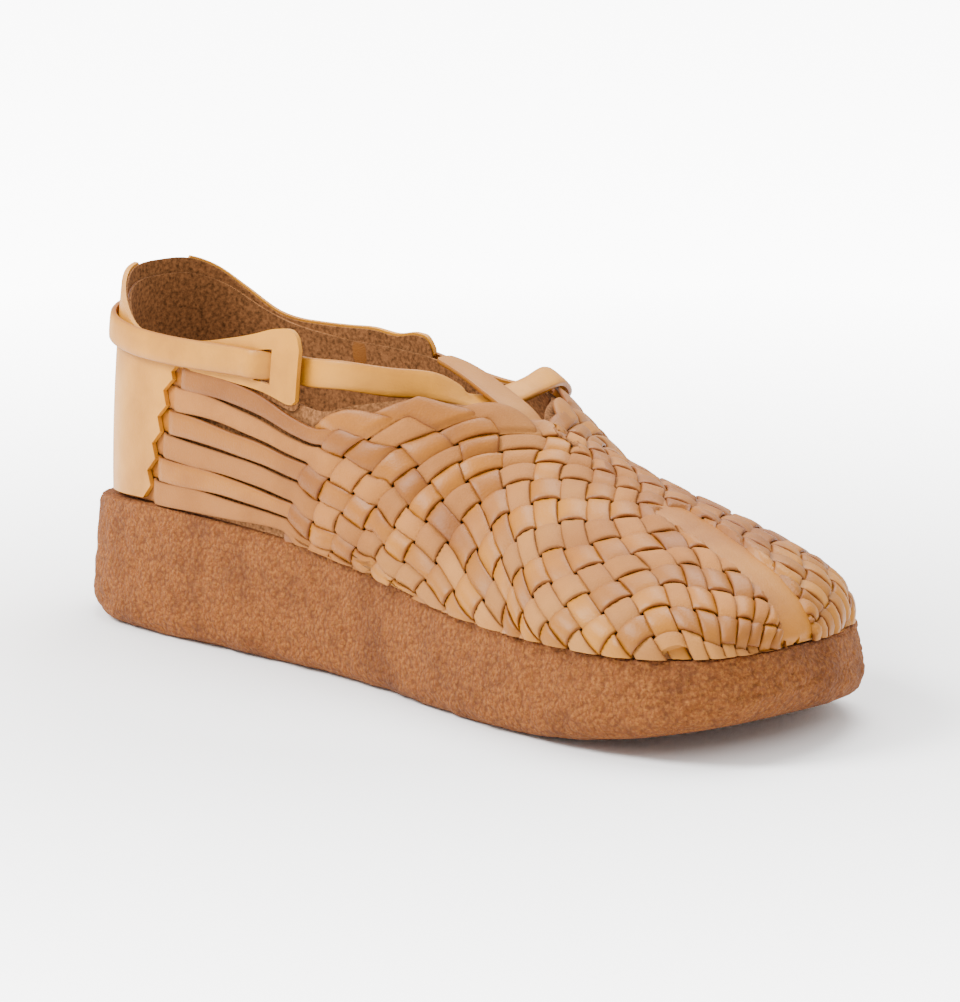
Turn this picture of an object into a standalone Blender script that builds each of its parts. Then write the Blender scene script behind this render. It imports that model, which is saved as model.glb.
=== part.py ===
"""Woven leather sandal on a thick crepe wedge sole, left foot.

Axes: +X runs to the toe, +Y to the outer (lateral) side, +Z up, metres.
The floor is z = 0 and the middle of the length is x = 0.

A station is a share k from 0 at the middle of the heel's back to 1 at the
middle of the toe, measured along either side.  side is -1 for the inner
(medial) side and +1 for the outer side.
"""
import math
from bisect import bisect_right
from functools import lru_cache

import bmesh
import bpy
from mathutils import Vector

# Sizes of the shoe
SHOE_LENGTH = 0.290
BALL_WIDTH = 0.112
HEEL_HEIGHT = 0.0376
INSTEP_HEIGHT = 0.077
COLLAR_HEIGHT = 0.104
TOE_SPRING = 0.0123
HEEL_ROLL = 0.0022

# Sole
SOLE_EDGE_RADIUS = 0.0060
SOLE_SIDE_TAPER = 0.0026
SOLE_LIP_RADIUS = 0.0010

# Upper: offsets are measured from the last surface, outward positive
STRIP_HIGH = 0.0007
STRIP_LOW = -0.0004
WALL_INNER = -0.0022
LINING_OUTER = -0.0016
LINING_INNER = -0.0032
STRIP_STEP = 0.0010
COUNTER_END = 0.150
PLUG_SEAT = -0.0010
REAR_STRIPS = 6

# Small parts
FIT_GAP = 0.0004
INSOLE_THICKNESS = 0.0030
INSOLE_END = 0.90
COUNTER_THICKNESS = 0.0016
PLUG_THICKNESS = 0.0012
PLUG_HALF_WIDTH = 0.0085
PLUG_START = 0.645
PLUG_END = 0.955
PLUG_MARGIN = 0.0035
STRAP_WIDTH = 0.0082
STRAP_THICKNESS = 0.0019
TAB_WIDTH = 0.0095
TAB_THICKNESS = 0.0018

# Outline of the sole, one row per station.
# station, length share and half width share of each side, margin of the
# upper inside the outline as a share of the ball width
OUTLINE = [
    # k,   in_len, in_wid, out_len, out_wid, margin
    (0.00, 0.0000, 0.000, 0.000, 0.000, 0.071),
    (0.03, 0.0100, 0.116, 0.010, 0.116, 0.071),
    (0.07, 0.0400, 0.246, 0.040, 0.246, 0.067),
    (0.12, 0.1000, 0.344, 0.100, 0.344, 0.054),
    (0.18, 0.1800, 0.378, 0.180, 0.373, 0.038),
    (0.27, 0.3000, 0.377, 0.300, 0.398, 0.025),
    (0.36, 0.4200, 0.378, 0.420, 0.438, 0.021),
    (0.45, 0.5400, 0.407, 0.540, 0.480, 0.020),
    (0.54, 0.6600, 0.464, 0.660, 0.509, 0.020),
    (0.62, 0.7600, 0.496, 0.760, 0.482, 0.021),
    (0.70, 0.8500, 0.502, 0.840, 0.415, 0.025),
    (0.77, 0.9150, 0.478, 0.900, 0.348, 0.030),
    (0.83, 0.9600, 0.420, 0.943, 0.246, 0.036),
    (0.88, 0.9850, 0.357, 0.968, 0.147, 0.038),
    (0.93, 0.9960, 0.281, 0.985, 0.049, 0.039),
    (0.97, 0.9995, 0.196, 0.993, -0.027, 0.040),
    (1.00, 0.9980, 0.107, 0.998, -0.107, 0.040),
]

# Height of the sole's top over the length, as a share of the heel height
SOLE_TOP = [
    # length, height
    (0.00, 0.891),
    (0.06, 0.944),
    (0.15, 1.000),
    (0.30, 0.989),
    (0.42, 0.936),
    (0.55, 0.824),
    (0.62, 0.771),
    (0.70, 0.734),
    (0.80, 0.718),
    (0.90, 0.723),
    (0.96, 0.750),
    (1.00, 0.787),
]

# Top line of the last: behind the throat the two sides part, from the
# throat on both meet in the ridge.  Length share, across as a share of the
# ball width, height as a share of the instep height, then how the wall
# bends between sole and top line: lean, rise and fullness.
TOP_LINE = [
    # k,   len,    in_y,   in_z,  out_y, out_z, lean,  rise, full
    (0.00, 0.0400, 0.000, 1.351, 0.000, 1.351, -0.10, 0.55, 0.80),
    (0.03, 0.0440, -0.089, 1.344, 0.089, 1.344, -0.10, 0.55, 0.80),
    (0.07, 0.0660, -0.179, 1.325, 0.179, 1.325, -0.08, 0.55, 0.80),
    (0.12, 0.1140, -0.250, 1.299, 0.250, 1.299, -0.05, 0.55, 0.80),
    (0.18, 0.1850, -0.290, 1.273, 0.295, 1.260, -0.02, 0.60, 0.80),
    (0.27, 0.3000, -0.313, 1.260, 0.321, 1.221, 0.00, 0.60, 0.80),
    (0.34, 0.3950, -0.321, 1.247, 0.326, 1.143, 0.00, 0.60, 0.75),
    (0.40, 0.4700, -0.299, 1.117, 0.304, 1.026, 0.00, 0.72, 0.60),
    (0.45, 0.5400, -0.179, 1.039, 0.205, 0.994, 0.00, 0.88, 0.40),
    (0.49, 0.5850, -0.036, 1.000, 0.071, 0.981, 0.00, 0.97, 0.30),
    (0.51, 0.6100, 0.018, 0.935, 0.018, 0.935, 0.00, 1.00, 0.28),
    (0.56, 0.6750, 0.009, 0.838, 0.009, 0.838, 0.00, 1.00, 0.30),
    (0.62, 0.7500, -0.018, 0.760, -0.018, 0.760, 0.00, 1.00, 0.42),
    (0.70, 0.8400, -0.045, 0.675, -0.045, 0.675, 0.00, 1.00, 0.60),
    (0.77, 0.8900, -0.071, 0.623, -0.071, 0.623, 0.00, 1.00, 0.70),
    (0.83, 0.9290, -0.080, 0.565, -0.080, 0.565, 0.00, 1.00, 0.75),
    (0.88, 0.9540, -0.089, 0.513, -0.089, 0.513, 0.00, 1.00, 0.75),
    (0.93, 0.9720, -0.098, 0.461, -0.098, 0.461, 0.00, 1.00, 0.72),
    (0.97, 0.9810, -0.103, 0.422, -0.103, 0.422, 0.00, 1.00, 0.70),
    (1.00, 0.9835, -0.107, 0.403, -0.107, 0.403, 0.00, 1.00, 0.70),
]

# Collar edge of the woven wall, heights as a share of the collar height
COLLAR_EDGE = [
    # k,    inner, outer
    (0.000, 0.942, 0.942),
    (0.030, 0.937, 0.937),
    (0.070, 0.913, 0.900),
    (0.120, 0.840, 0.812),
    (0.180, 0.788, 0.770),
    (0.270, 0.764, 0.748),
    (0.310, 0.752, 0.726),
    (0.345, 0.724, 0.707),
    (0.370, 0.715, 0.704),
    (0.400, 0.744, 0.719),
    (0.425, 0.765, 0.737),
    (0.450, 0.790, 0.752),
]

# Where the diagonal weave's columns lie: station of the column at its top,
# at the fifth row and at the tenth row, and the height of one row as a
# share of the ball width.  Two rows and two columns hold one crossing.
WEAVE = [
    # column, top,   fifth, tenth, row
    (-3.0, 0.340, 0.360, 0.415, 0.0420),
    (0.0, 0.383, 0.414, 0.450, 0.0429),
    (3.0, 0.462, 0.459, 0.505, 0.0500),
    (6.0, 0.517, 0.499, 0.555, 0.0520),
    (9.0, 0.556, 0.540, 0.605, 0.0478),
    (12.0, 0.600, 0.594, 0.635, 0.0482),
    (15.0, 0.648, 0.662, 0.700, 0.0482),
    (18.0, 0.708, 0.736, 0.762, 0.0429),
    (21.0, 0.790, 0.838, 0.850, 0.0393),
    (24.0, 0.900, 0.930, 0.940, 0.0375),
]
FIRST_COLUMN = -3
THROAT_COLUMN = 6
LAST_COLUMN = 24

# Stations of the rear wall, from the heel's back to the first column
HEEL_STATIONS = [0.0, 0.015, 0.03, 0.045, 0.06, 0.08, 0.10, 0.125, 0.1495]
REAR_STATIONS = HEEL_STATIONS + [0.163, 0.19, 0.215, 0.24, 0.265, 0.29, 0.315]
EAR_STATIONS = {
    -1: [0.163, 0.19, 0.215, 0.24, 0.265, 0.285, 0.305, 0.325, 0.338, 0.346],
    1: [0.163, 0.19, 0.215, 0.24, 0.256, 0.268, 0.274, 0.278],
}

# Heel counter, one row per station: lower and upper edge as a share of
# the collar height, for the inner and for the outer side.  Ahead of the
# heel it stands above the strips and ends in an ear.
COUNTER = [
    # k,    in_low, in_top, out_low, out_top
    (0.000, 0.360, 0.990, 0.360, 0.990),
    (0.030, 0.360, 0.985, 0.360, 0.985),
    (0.060, 0.362, 0.965, 0.362, 0.952),
    (0.090, 0.366, 0.915, 0.366, 0.888),
    (0.120, 0.372, 0.870, 0.372, 0.822),
    (0.140, 0.376, 0.848, 0.376, 0.806),
    (0.158, 0.810, 0.838, 0.790, 0.803),
    (0.190, 0.793, 0.834, 0.775, 0.803),
    (0.215, 0.787, 0.841, 0.770, 0.806),
    (0.240, 0.782, 0.851, 0.765, 0.796),
    (0.265, 0.778, 0.868, 0.758, 0.806),
    (0.274, 0.776, 0.875, 0.755, 0.798),
    (0.278, 0.775, 0.878, 0.754, 0.780),
    (0.295, 0.770, 0.893, 0.747, 0.780),
    (0.320, 0.758, 0.918, 0.734, 0.780),
    (0.336, 0.750, 0.921, 0.727, 0.780),
    (0.346, 0.748, 0.905, 0.724, 0.780),
]

# Centre line of the heel strap on one side.  The first rows lie on the
# wall: station, heights as a share of the collar height and offsets from
# the last.  On the inner side it passes through the ear to the inside; on
# the outer side it stays outside, below the top edge.
STRAP_ON_WALL = [
    # k,    in_z,  out_z, in_off, out_off
    (0.000, 0.842, 0.842, 0.0020, 0.0020),
    (0.025, 0.840, 0.838, 0.0020, 0.0020),
    (0.050, 0.836, 0.822, 0.0020, 0.0020),
    (0.080, 0.828, 0.796, 0.0020, 0.0020),
    (0.110, 0.819, 0.772, 0.0020, 0.0020),
    (0.150, 0.811, 0.756, 0.0020, 0.0020),
    (0.190, 0.808, 0.748, 0.0020, 0.0020),
    (0.225, 0.809, 0.738, 0.0020, 0.0020),
    (0.250, 0.811, 0.726, 0.0020, 0.0020),
    (0.262, 0.812, 0.719, 0.0018, 0.0020),
    (0.274, 0.813, 0.711, -0.0004, 0.0020),
    (0.286, 0.814, 0.702, -0.0028, 0.0020),
    (0.300, 0.814, 0.690, -0.0033, 0.0020),
    (0.325, 0.813, 0.671, -0.0033, 0.0020),
    (0.350, 0.812, 0.661, -0.0036, 0.0020),
]
STRAP_STATIONS = [row[0] for row in STRAP_ON_WALL]
SLIT_STATION = 0.274
SLIT_LENGTH = 0.0130
SLIT_CLEARANCE = 0.0006

# Then it runs free over the instep: length share, across as a share of
# the ball width, height as a share of the instep height, and the way its
# outer face looks: degrees up from level and degrees ahead from sideways
STRAP_FREE = {
    # len,  across, height, up,  ahead
    -1: [
        (0.445, -0.288, 1.097, 0.0, 4.0),
        (0.485, -0.222, 1.078, 8.0, 20.0),
        (0.511, -0.155, 1.068, 24.0, 42.0),
        (0.5265, -0.104, 1.036, 48.0, 66.0),
        (0.5330, -0.060, 1.001, 64.0, 84.0),
    ],
    1: [
        (0.447, 0.395, 0.903, 10.0, 2.0),
        (0.474, 0.379, 0.936, 26.0, 12.0),
        (0.498, 0.342, 0.992, 40.0, 26.0),
        (0.515, 0.268, 1.036, 58.0, 46.0),
        (0.530, 0.172, 1.028, 70.0, 70.0),
        (0.534, 0.092, 1.010, 67.0, 84.0),
    ],
}
STRAP_CROSSING = (0.5340, 0.014, 0.990, 66.0, 90.0)

# Instep tab: length share and height as a share of the instep height of
# its under face, and its width as a share of the tab width.  Its root
# lies under the throat of the woven wall.
TAB_LINE = [
    # len,   height, width
    (0.6300, 0.816, 0.90),
    (0.6120, 0.847, 0.95),
    (0.5930, 0.895, 1.00),
    (0.5730, 0.952, 1.00),
    (0.5540, 0.988, 1.00),
    (0.5340, 1.020, 1.00),
    (0.5120, 1.054, 0.98),
    (0.4880, 1.084, 0.90),
    (0.4700, 1.100, 0.76),
    (0.4640, 1.106, 0.56),
]

# Long gaps between the rear strips, on both sides: station of the middle,
# height as a share of the collar height, length and width in metres
REAR_GAPS = [
    # k,    height, length, width
    (0.262, 0.470, 0.0170, 0.0016),
    (0.285, 0.645, 0.0150, 0.0012),
]


def spaced(first, last, count):
    """Even places from first up to, but without, last."""
    return [first + (last - first) * i / count for i in range(count)]


def clear_scene():
    """Start from an empty scene."""
    for thing in list(bpy.data.objects):
        bpy.data.objects.remove(thing, do_unlink=True)


class Curve:
    """Smooth curve through one column of a table over its first column."""

    def __init__(self, table, column):
        self.xs = [row[0] for row in table]
        self.ys = [row[column] for row in table]
        step = [b - a for a, b in zip(self.xs, self.xs[1:])]
        rise = [b - a for a, b in zip(self.ys, self.ys[1:])]
        rate = [r / s for r, s in zip(rise, step)]
        slope = [0.0] * len(self.xs)
        for i in range(1, len(self.xs) - 1):
            total = step[i] + step[i - 1]
            slope[i] = (rate[i - 1] * step[i] + rate[i] * step[i - 1]) / total
        slope[0] = 1.5 * rate[0] - 0.5 * slope[1]
        slope[-1] = 1.5 * rate[-1] - 0.5 * slope[-2]
        self.step = step
        self.slope = slope

    def __call__(self, where):
        at = min(max(where, self.xs[0]), self.xs[-1])
        i = min(max(bisect_right(self.xs, at) - 1, 0), len(self.step) - 1)
        wide = self.step[i]
        t = (at - self.xs[i]) / wide
        a = (2.0 * t ** 3 - 3.0 * t ** 2 + 1.0) * self.ys[i]
        b = (t ** 3 - 2.0 * t ** 2 + t) * wide * self.slope[i]
        c = (3.0 * t ** 2 - 2.0 * t ** 3) * self.ys[i + 1]
        d = (t ** 3 - t ** 2) * wide * self.slope[i + 1]
        return a + b + c + d


SIDE_LENGTH = {-1: Curve(OUTLINE, 1), 1: Curve(OUTLINE, 3)}
SIDE_WIDTH = {-1: Curve(OUTLINE, 2), 1: Curve(OUTLINE, 4)}
SIDE_MARGIN = Curve(OUTLINE, 5)
TOP_SHARE = Curve(SOLE_TOP, 1)
LINE_LENGTH = Curve(TOP_LINE, 1)
LINE_ACROSS = {-1: Curve(TOP_LINE, 2), 1: Curve(TOP_LINE, 4)}
LINE_HEIGHT = {-1: Curve(TOP_LINE, 3), 1: Curve(TOP_LINE, 5)}
WALL_LEAN = Curve(TOP_LINE, 6)
WALL_RISE = Curve(TOP_LINE, 7)
WALL_FULL = Curve(TOP_LINE, 8)
EDGE_HEIGHT = {-1: Curve(COLLAR_EDGE, 1), 1: Curve(COLLAR_EDGE, 2)}
WEAVE_TOP = Curve(WEAVE, 1)
WEAVE_FIFTH = Curve(WEAVE, 2)
WEAVE_TENTH = Curve(WEAVE, 3)
WEAVE_ROW = Curve(WEAVE, 4)
COUNTER_LOW = {-1: Curve(COUNTER, 1), 1: Curve(COUNTER, 3)}
COUNTER_TOP = {-1: Curve(COUNTER, 2), 1: Curve(COUNTER, 4)}
STRAP_HEIGHT = {-1: Curve(STRAP_ON_WALL, 1), 1: Curve(STRAP_ON_WALL, 2)}
STRAP_OFFSET = {-1: Curve(STRAP_ON_WALL, 3), 1: Curve(STRAP_ON_WALL, 4)}


def share_of_length(x):
    return x / SHOE_LENGTH + 0.5


def sole_top(x):
    """Height of the sole's top face at a place along the length."""
    return HEEL_HEIGHT * TOP_SHARE(share_of_length(x))


def sole_bottom(x):
    """Height of the sole's under face: toe spring ahead, a slight roll behind."""
    share = share_of_length(x)
    spring = min(max((share - 0.70) / 0.30, 0.0), 1.0)
    roll = min(max((0.12 - share) / 0.12, 0.0), 1.0)
    return TOE_SPRING * spring ** 2 + HEEL_ROLL * roll ** 2


@lru_cache(maxsize=None)
def outline(k, side):
    """Plan outline of the sole; past heel or toe it runs on to the other side."""
    if k < 0.0:
        k, side = -k, -side
    if k > 1.0:
        k, side = 2.0 - k, -side
    x = (SIDE_LENGTH[side](k) - 0.5) * SHOE_LENGTH
    return Vector((x, side * SIDE_WIDTH[side](k) * BALL_WIDTH, 0.0))


@lru_cache(maxsize=None)
def outline_normal(k, side):
    """Outward direction of the outline in plan."""
    run = outline(k + 0.006, side) - outline(k - 0.006, side)
    return (Vector((-run.y, run.x, 0.0)) * side).normalized()


@lru_cache(maxsize=None)
def foot_line(k, side):
    """Line where the last meets the sole."""
    plan = outline(k, side) - outline_normal(k, side) * SIDE_MARGIN(k) * BALL_WIDTH
    return Vector((plan.x, plan.y, sole_top(plan.x) + FIT_GAP))


@lru_cache(maxsize=None)
def top_line(k, side):
    """Line along the top of the last."""
    x = (LINE_LENGTH(k) - 0.5) * SHOE_LENGTH
    return Vector((x, LINE_ACROSS[side](k) * BALL_WIDTH, LINE_HEIGHT[side](k) * INSTEP_HEIGHT))


@lru_cache(maxsize=None)
def section(k, side):
    """Foot, knee and top of the wall at a station, and its fullness."""
    low = foot_line(k, side)
    high = top_line(k, side)
    knee = low + (high - low) * WALL_LEAN(k)
    knee.z = low.z + (high.z - low.z) * WALL_RISE(k)
    return low, knee, high, WALL_FULL(k)


def last_point(k, side, v):
    """Point of the last's surface; it runs on past heel, toe and ridge."""
    if k < 0.0:
        k, side = -k, -side
    if k > 1.0:
        k, side = 2.0 - k, -side
    if v > 1.0 and k >= 0.5:
        v, side = 2.0 - v, -side
    low, knee, high, full = section(round(k, 6), side)
    a = (1.0 - v) ** 2
    b = 2.0 * full * v * (1.0 - v)
    c = v ** 2
    return (low * a + knee * b + high * c) / (a + b + c)


def last_normal(k, side, v):
    """Outward direction of the last's surface."""
    top = min(v + 0.02, 1.0) if k < 0.51 else v + 0.02
    along = last_point(k + 0.006, side, v) - last_point(k - 0.006, side, v)
    up = last_point(k, side, top) - last_point(k, side, max(v - 0.02, 0.0))
    return (along.cross(up) * -side).normalized()


def on_last(k, side, v, offset):
    """Point at an offset from the last's surface."""
    return last_point(k, side, v) + last_normal(k, side, v) * offset


def rise_at_height(k, side, height):
    """Rise v at which the wall of a station reaches a height."""
    low = 0.0
    high = 1.0
    for _ in range(24):
        middle = 0.5 * (low + high)
        if last_point(k, side, middle).z < height:
            low = middle
        else:
            high = middle
    return 0.5 * (low + high)


@lru_cache(maxsize=None)
def edge_rise(k, side):
    """Rise of the woven wall's top: the collar edge, or 1 on the ridge."""
    if k >= COLLAR_EDGE[-1][0]:
        return 1.0
    return rise_at_height(k, side, EDGE_HEIGHT[side](k) * COLLAR_HEIGHT)


class Girth:
    """Arc lengths down the wall from its top, for one side and station."""

    def __init__(self, k, side):
        top = edge_rise(k, side)
        self.rises = [top * (1.0 - i / 60.0) for i in range(61)]
        points = [last_point(k, side, v) for v in self.rises]
        self.arc = [0.0]
        for first, second in zip(points, points[1:]):
            self.arc.append(self.arc[-1] + (second - first).length)
        self.length = self.arc[-1]

    def rise(self, down):
        i = min(max(bisect_right(self.arc, down) - 1, 0), 59)
        t = (down - self.arc[i]) / (self.arc[i + 1] - self.arc[i])
        t = min(max(t, 0.0), 1.0)
        return self.rises[i] + (self.rises[i + 1] - self.rises[i]) * t


def weave_station(column, row):
    """Station of a weave node, bent from top through fifth to tenth row."""
    t = row / 10.0
    top = WEAVE_TOP(column) * (1 - t) * (1 - 2 * t)
    fifth = WEAVE_FIFTH(column) * 4 * t * (1 - t)
    tenth = WEAVE_TENTH(column) * t * (2 * t - 1)
    return min(max(top + fifth + tenth, 0.0), 0.985)


def row_height(column):
    return WEAVE_ROW(column) * BALL_WIDTH


def rows_to_foot(column, side):
    """How many rows down the foot line lies, as a real number."""
    row = 8.0
    for _ in range(14):
        length = Girth(weave_station(column, row), side).length
        row = 0.5 * row + 0.5 * length / row_height(column)
    return row


def ridge_across(x):
    """Where the ridge lies across, at a place along the length."""
    low = 0.5
    high = 1.0
    for _ in range(20):
        middle = 0.5 * (low + high)
        if LINE_LENGTH(middle) < share_of_length(x):
            low = middle
        else:
            high = middle
    return top_line(low, -1).y


def plug_cover(point):
    """True under the toe plug, where the weave gives way to a flat wall."""
    near = abs(point.y - ridge_across(point.x)) < PLUG_HALF_WIDTH + PLUG_MARGIN
    return share_of_length(point.x) > LINE_LENGTH(PLUG_START) - 0.01 and near


def wall_offsets(k):
    """Outer low, outer high and inner offset of the wall at a station."""
    t = min(max((k - COUNTER_END) / 0.012, 0.0), 1.0)
    t = t * t * (3.0 - 2.0 * t)
    low = LINING_OUTER + (STRIP_LOW - LINING_OUTER) * t
    high = LINING_OUTER + (STRIP_HIGH - LINING_OUTER) * t
    inner = LINING_INNER + (WALL_INNER - LINING_INNER) * t
    return low, high, inner


def new_object(name, mesh, material):
    thing = bpy.data.objects.new(name, mesh)
    bpy.context.collection.objects.link(thing)
    mesh.materials.append(material)
    return thing


def object_from_bmesh(name, bm, material):
    bmesh.ops.remove_doubles(bm, verts=bm.verts, dist=1.0e-6)
    bmesh.ops.triangulate(bm, faces=bm.faces[:])
    bmesh.ops.recalc_face_normals(bm, faces=bm.faces[:])
    mesh = bpy.data.meshes.new(name)
    bm.to_mesh(mesh)
    bm.free()
    return new_object(name, mesh, material)


def material(name, colour, roughness):
    made = bpy.data.materials.new(name)
    made.use_nodes = True
    shader = made.node_tree.nodes.get("Principled BSDF")
    shader.inputs["Base Color"].default_value = (*colour, 1.0)
    shader.inputs["Roughness"].default_value = roughness
    shader.inputs["Metallic"].default_value = 0.0
    made.diffuse_color = (*colour, 1.0)
    return made


def add_chain(bm, points):
    return [bm.verts.new(tuple(point)) for point in points]


def add_face(bm, *verts):
    """Add a face unless two of its corners are the same vertex."""
    kept = []
    for vert in verts:
        if vert not in kept:
            kept.append(vert)
    if len(kept) >= 3:
        try:
            bm.faces.new(kept)
        except ValueError:
            pass


def bridge(bm, first, second):
    """Triangles between two chains of vertices that run the same way."""
    i = 0
    j = 0
    while i < len(first) - 1 or j < len(second) - 1:
        step_first = (i + 1) / max(len(first) - 1, 1)
        step_second = (j + 1) / max(len(second) - 1, 1)
        go_first = j >= len(second) - 1 or (i < len(first) - 1 and step_first <= step_second)
        if go_first:
            add_face(bm, first[i], first[i + 1], second[j])
            i += 1
        else:
            add_face(bm, first[i], second[j + 1], second[j])
            j += 1


def bridge_even(bm, first, second):
    """Quads between two chains of the same length."""
    for i in range(len(first) - 1):
        add_face(bm, first[i], first[i + 1], second[i + 1], second[i])


def build_sole(rubber):
    """Crepe wedge: rings around the outline, ruled across below and above."""
    stations = spaced(0.0, 0.12, 8) + spaced(0.12, 0.70, 18) + spaced(0.70, 1.0, 14) + [1.0]
    side_pairs = [(k, -1) for k in stations]
    side_pairs += [(k, 1) for k in stations[-2:0:-1]]
    corner = SOLE_EDGE_RADIUS
    # inset from the outline, and height above the under face
    low_rings = [
        (corner, 0.0),
        (corner * 0.50, corner * 0.13),
        (corner * 0.13, corner * 0.50),
        (0.0, corner),
    ]
    # inset from the outline, and depth below the top face
    high_rings = [
        (SOLE_SIDE_TAPER, SOLE_LIP_RADIUS),
        (SOLE_SIDE_TAPER + SOLE_LIP_RADIUS, 0.0),
    ]
    bm = bmesh.new()
    rings = []
    for inset, rise in low_rings:
        ring = []
        for k, side in side_pairs:
            plan = outline(k, side) - outline_normal(k, side) * inset
            ring.append((plan.x, plan.y, sole_bottom(plan.x) + rise))
        rings.append(add_chain(bm, ring))
    middle = []
    for k, side in side_pairs:
        plan = outline(k, side) - outline_normal(k, side) * SOLE_SIDE_TAPER * 0.40
        low = sole_bottom(plan.x)
        high = sole_top(plan.x)
        middle.append((plan.x, plan.y, low + 0.55 * (high - low)))
    rings.append(add_chain(bm, middle))
    for inset, depth in high_rings:
        ring = []
        for k, side in side_pairs:
            plan = outline(k, side) - outline_normal(k, side) * inset
            ring.append((plan.x, plan.y, sole_top(plan.x) - depth))
        rings.append(add_chain(bm, ring))
    for lower, upper in zip(rings, rings[1:]):
        bridge_even(bm, lower + lower[:1], upper + upper[:1])
    count = len(stations)
    for ring in (rings[0], rings[-1]):
        inner = ring[:count]
        outer = [ring[0]] + ring[:count - 2:-1]
        for i in range(count - 1):
            add_face(bm, inner[i], inner[i + 1], outer[i + 1], outer[i])
    return object_from_bmesh("sole", bm, rubber)


def clear_of_wall(k, side, height):
    """Plan point just inside the upper's inner face at a height."""
    offset = wall_offsets(k)[2] - FIT_GAP - 0.0004
    low = 0.0
    high = 1.0
    for _ in range(24):
        middle = 0.5 * (low + high)
        if on_last(k, side, middle, offset).z < height:
            low = middle
        else:
            high = middle
    spot = on_last(k, side, 0.5 * (low + high), offset)
    if k < 0.5:
        return foot_line(k, side) + outline_normal(k, side) * offset
    return spot


def build_insole(leather):
    """Flat footbed inside the upper; it ends short of the low toe tip."""
    stations = spaced(0.0, 0.12, 6) + spaced(0.12, 0.70, 12) + spaced(0.70, INSOLE_END, 7)
    stations.append(INSOLE_END)
    bm = bmesh.new()
    chains = [[], []]
    for k, side in [(k, -1) for k in stations] + [(k, 1) for k in stations[:0:-1]]:
        foot = foot_line(k, side)
        spot = clear_of_wall(k, side, foot.z + INSOLE_THICKNESS + 0.0008)
        for chain, rise in zip(chains, (FIT_GAP, FIT_GAP + INSOLE_THICKNESS)):
            chain.append(bm.verts.new((spot.x, spot.y, sole_top(spot.x) + rise)))
    bridge_even(bm, chains[0] + chains[0][:1], chains[1] + chains[1][:1])
    count = len(stations)
    for ring in chains:
        inner = ring[:count]
        outer = [ring[0]] + ring[:count - 1:-1]
        for i in range(count - 1):
            add_face(bm, inner[i], inner[i + 1], outer[i + 1], outer[i])
    return object_from_bmesh("insole", bm, leather)


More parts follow.
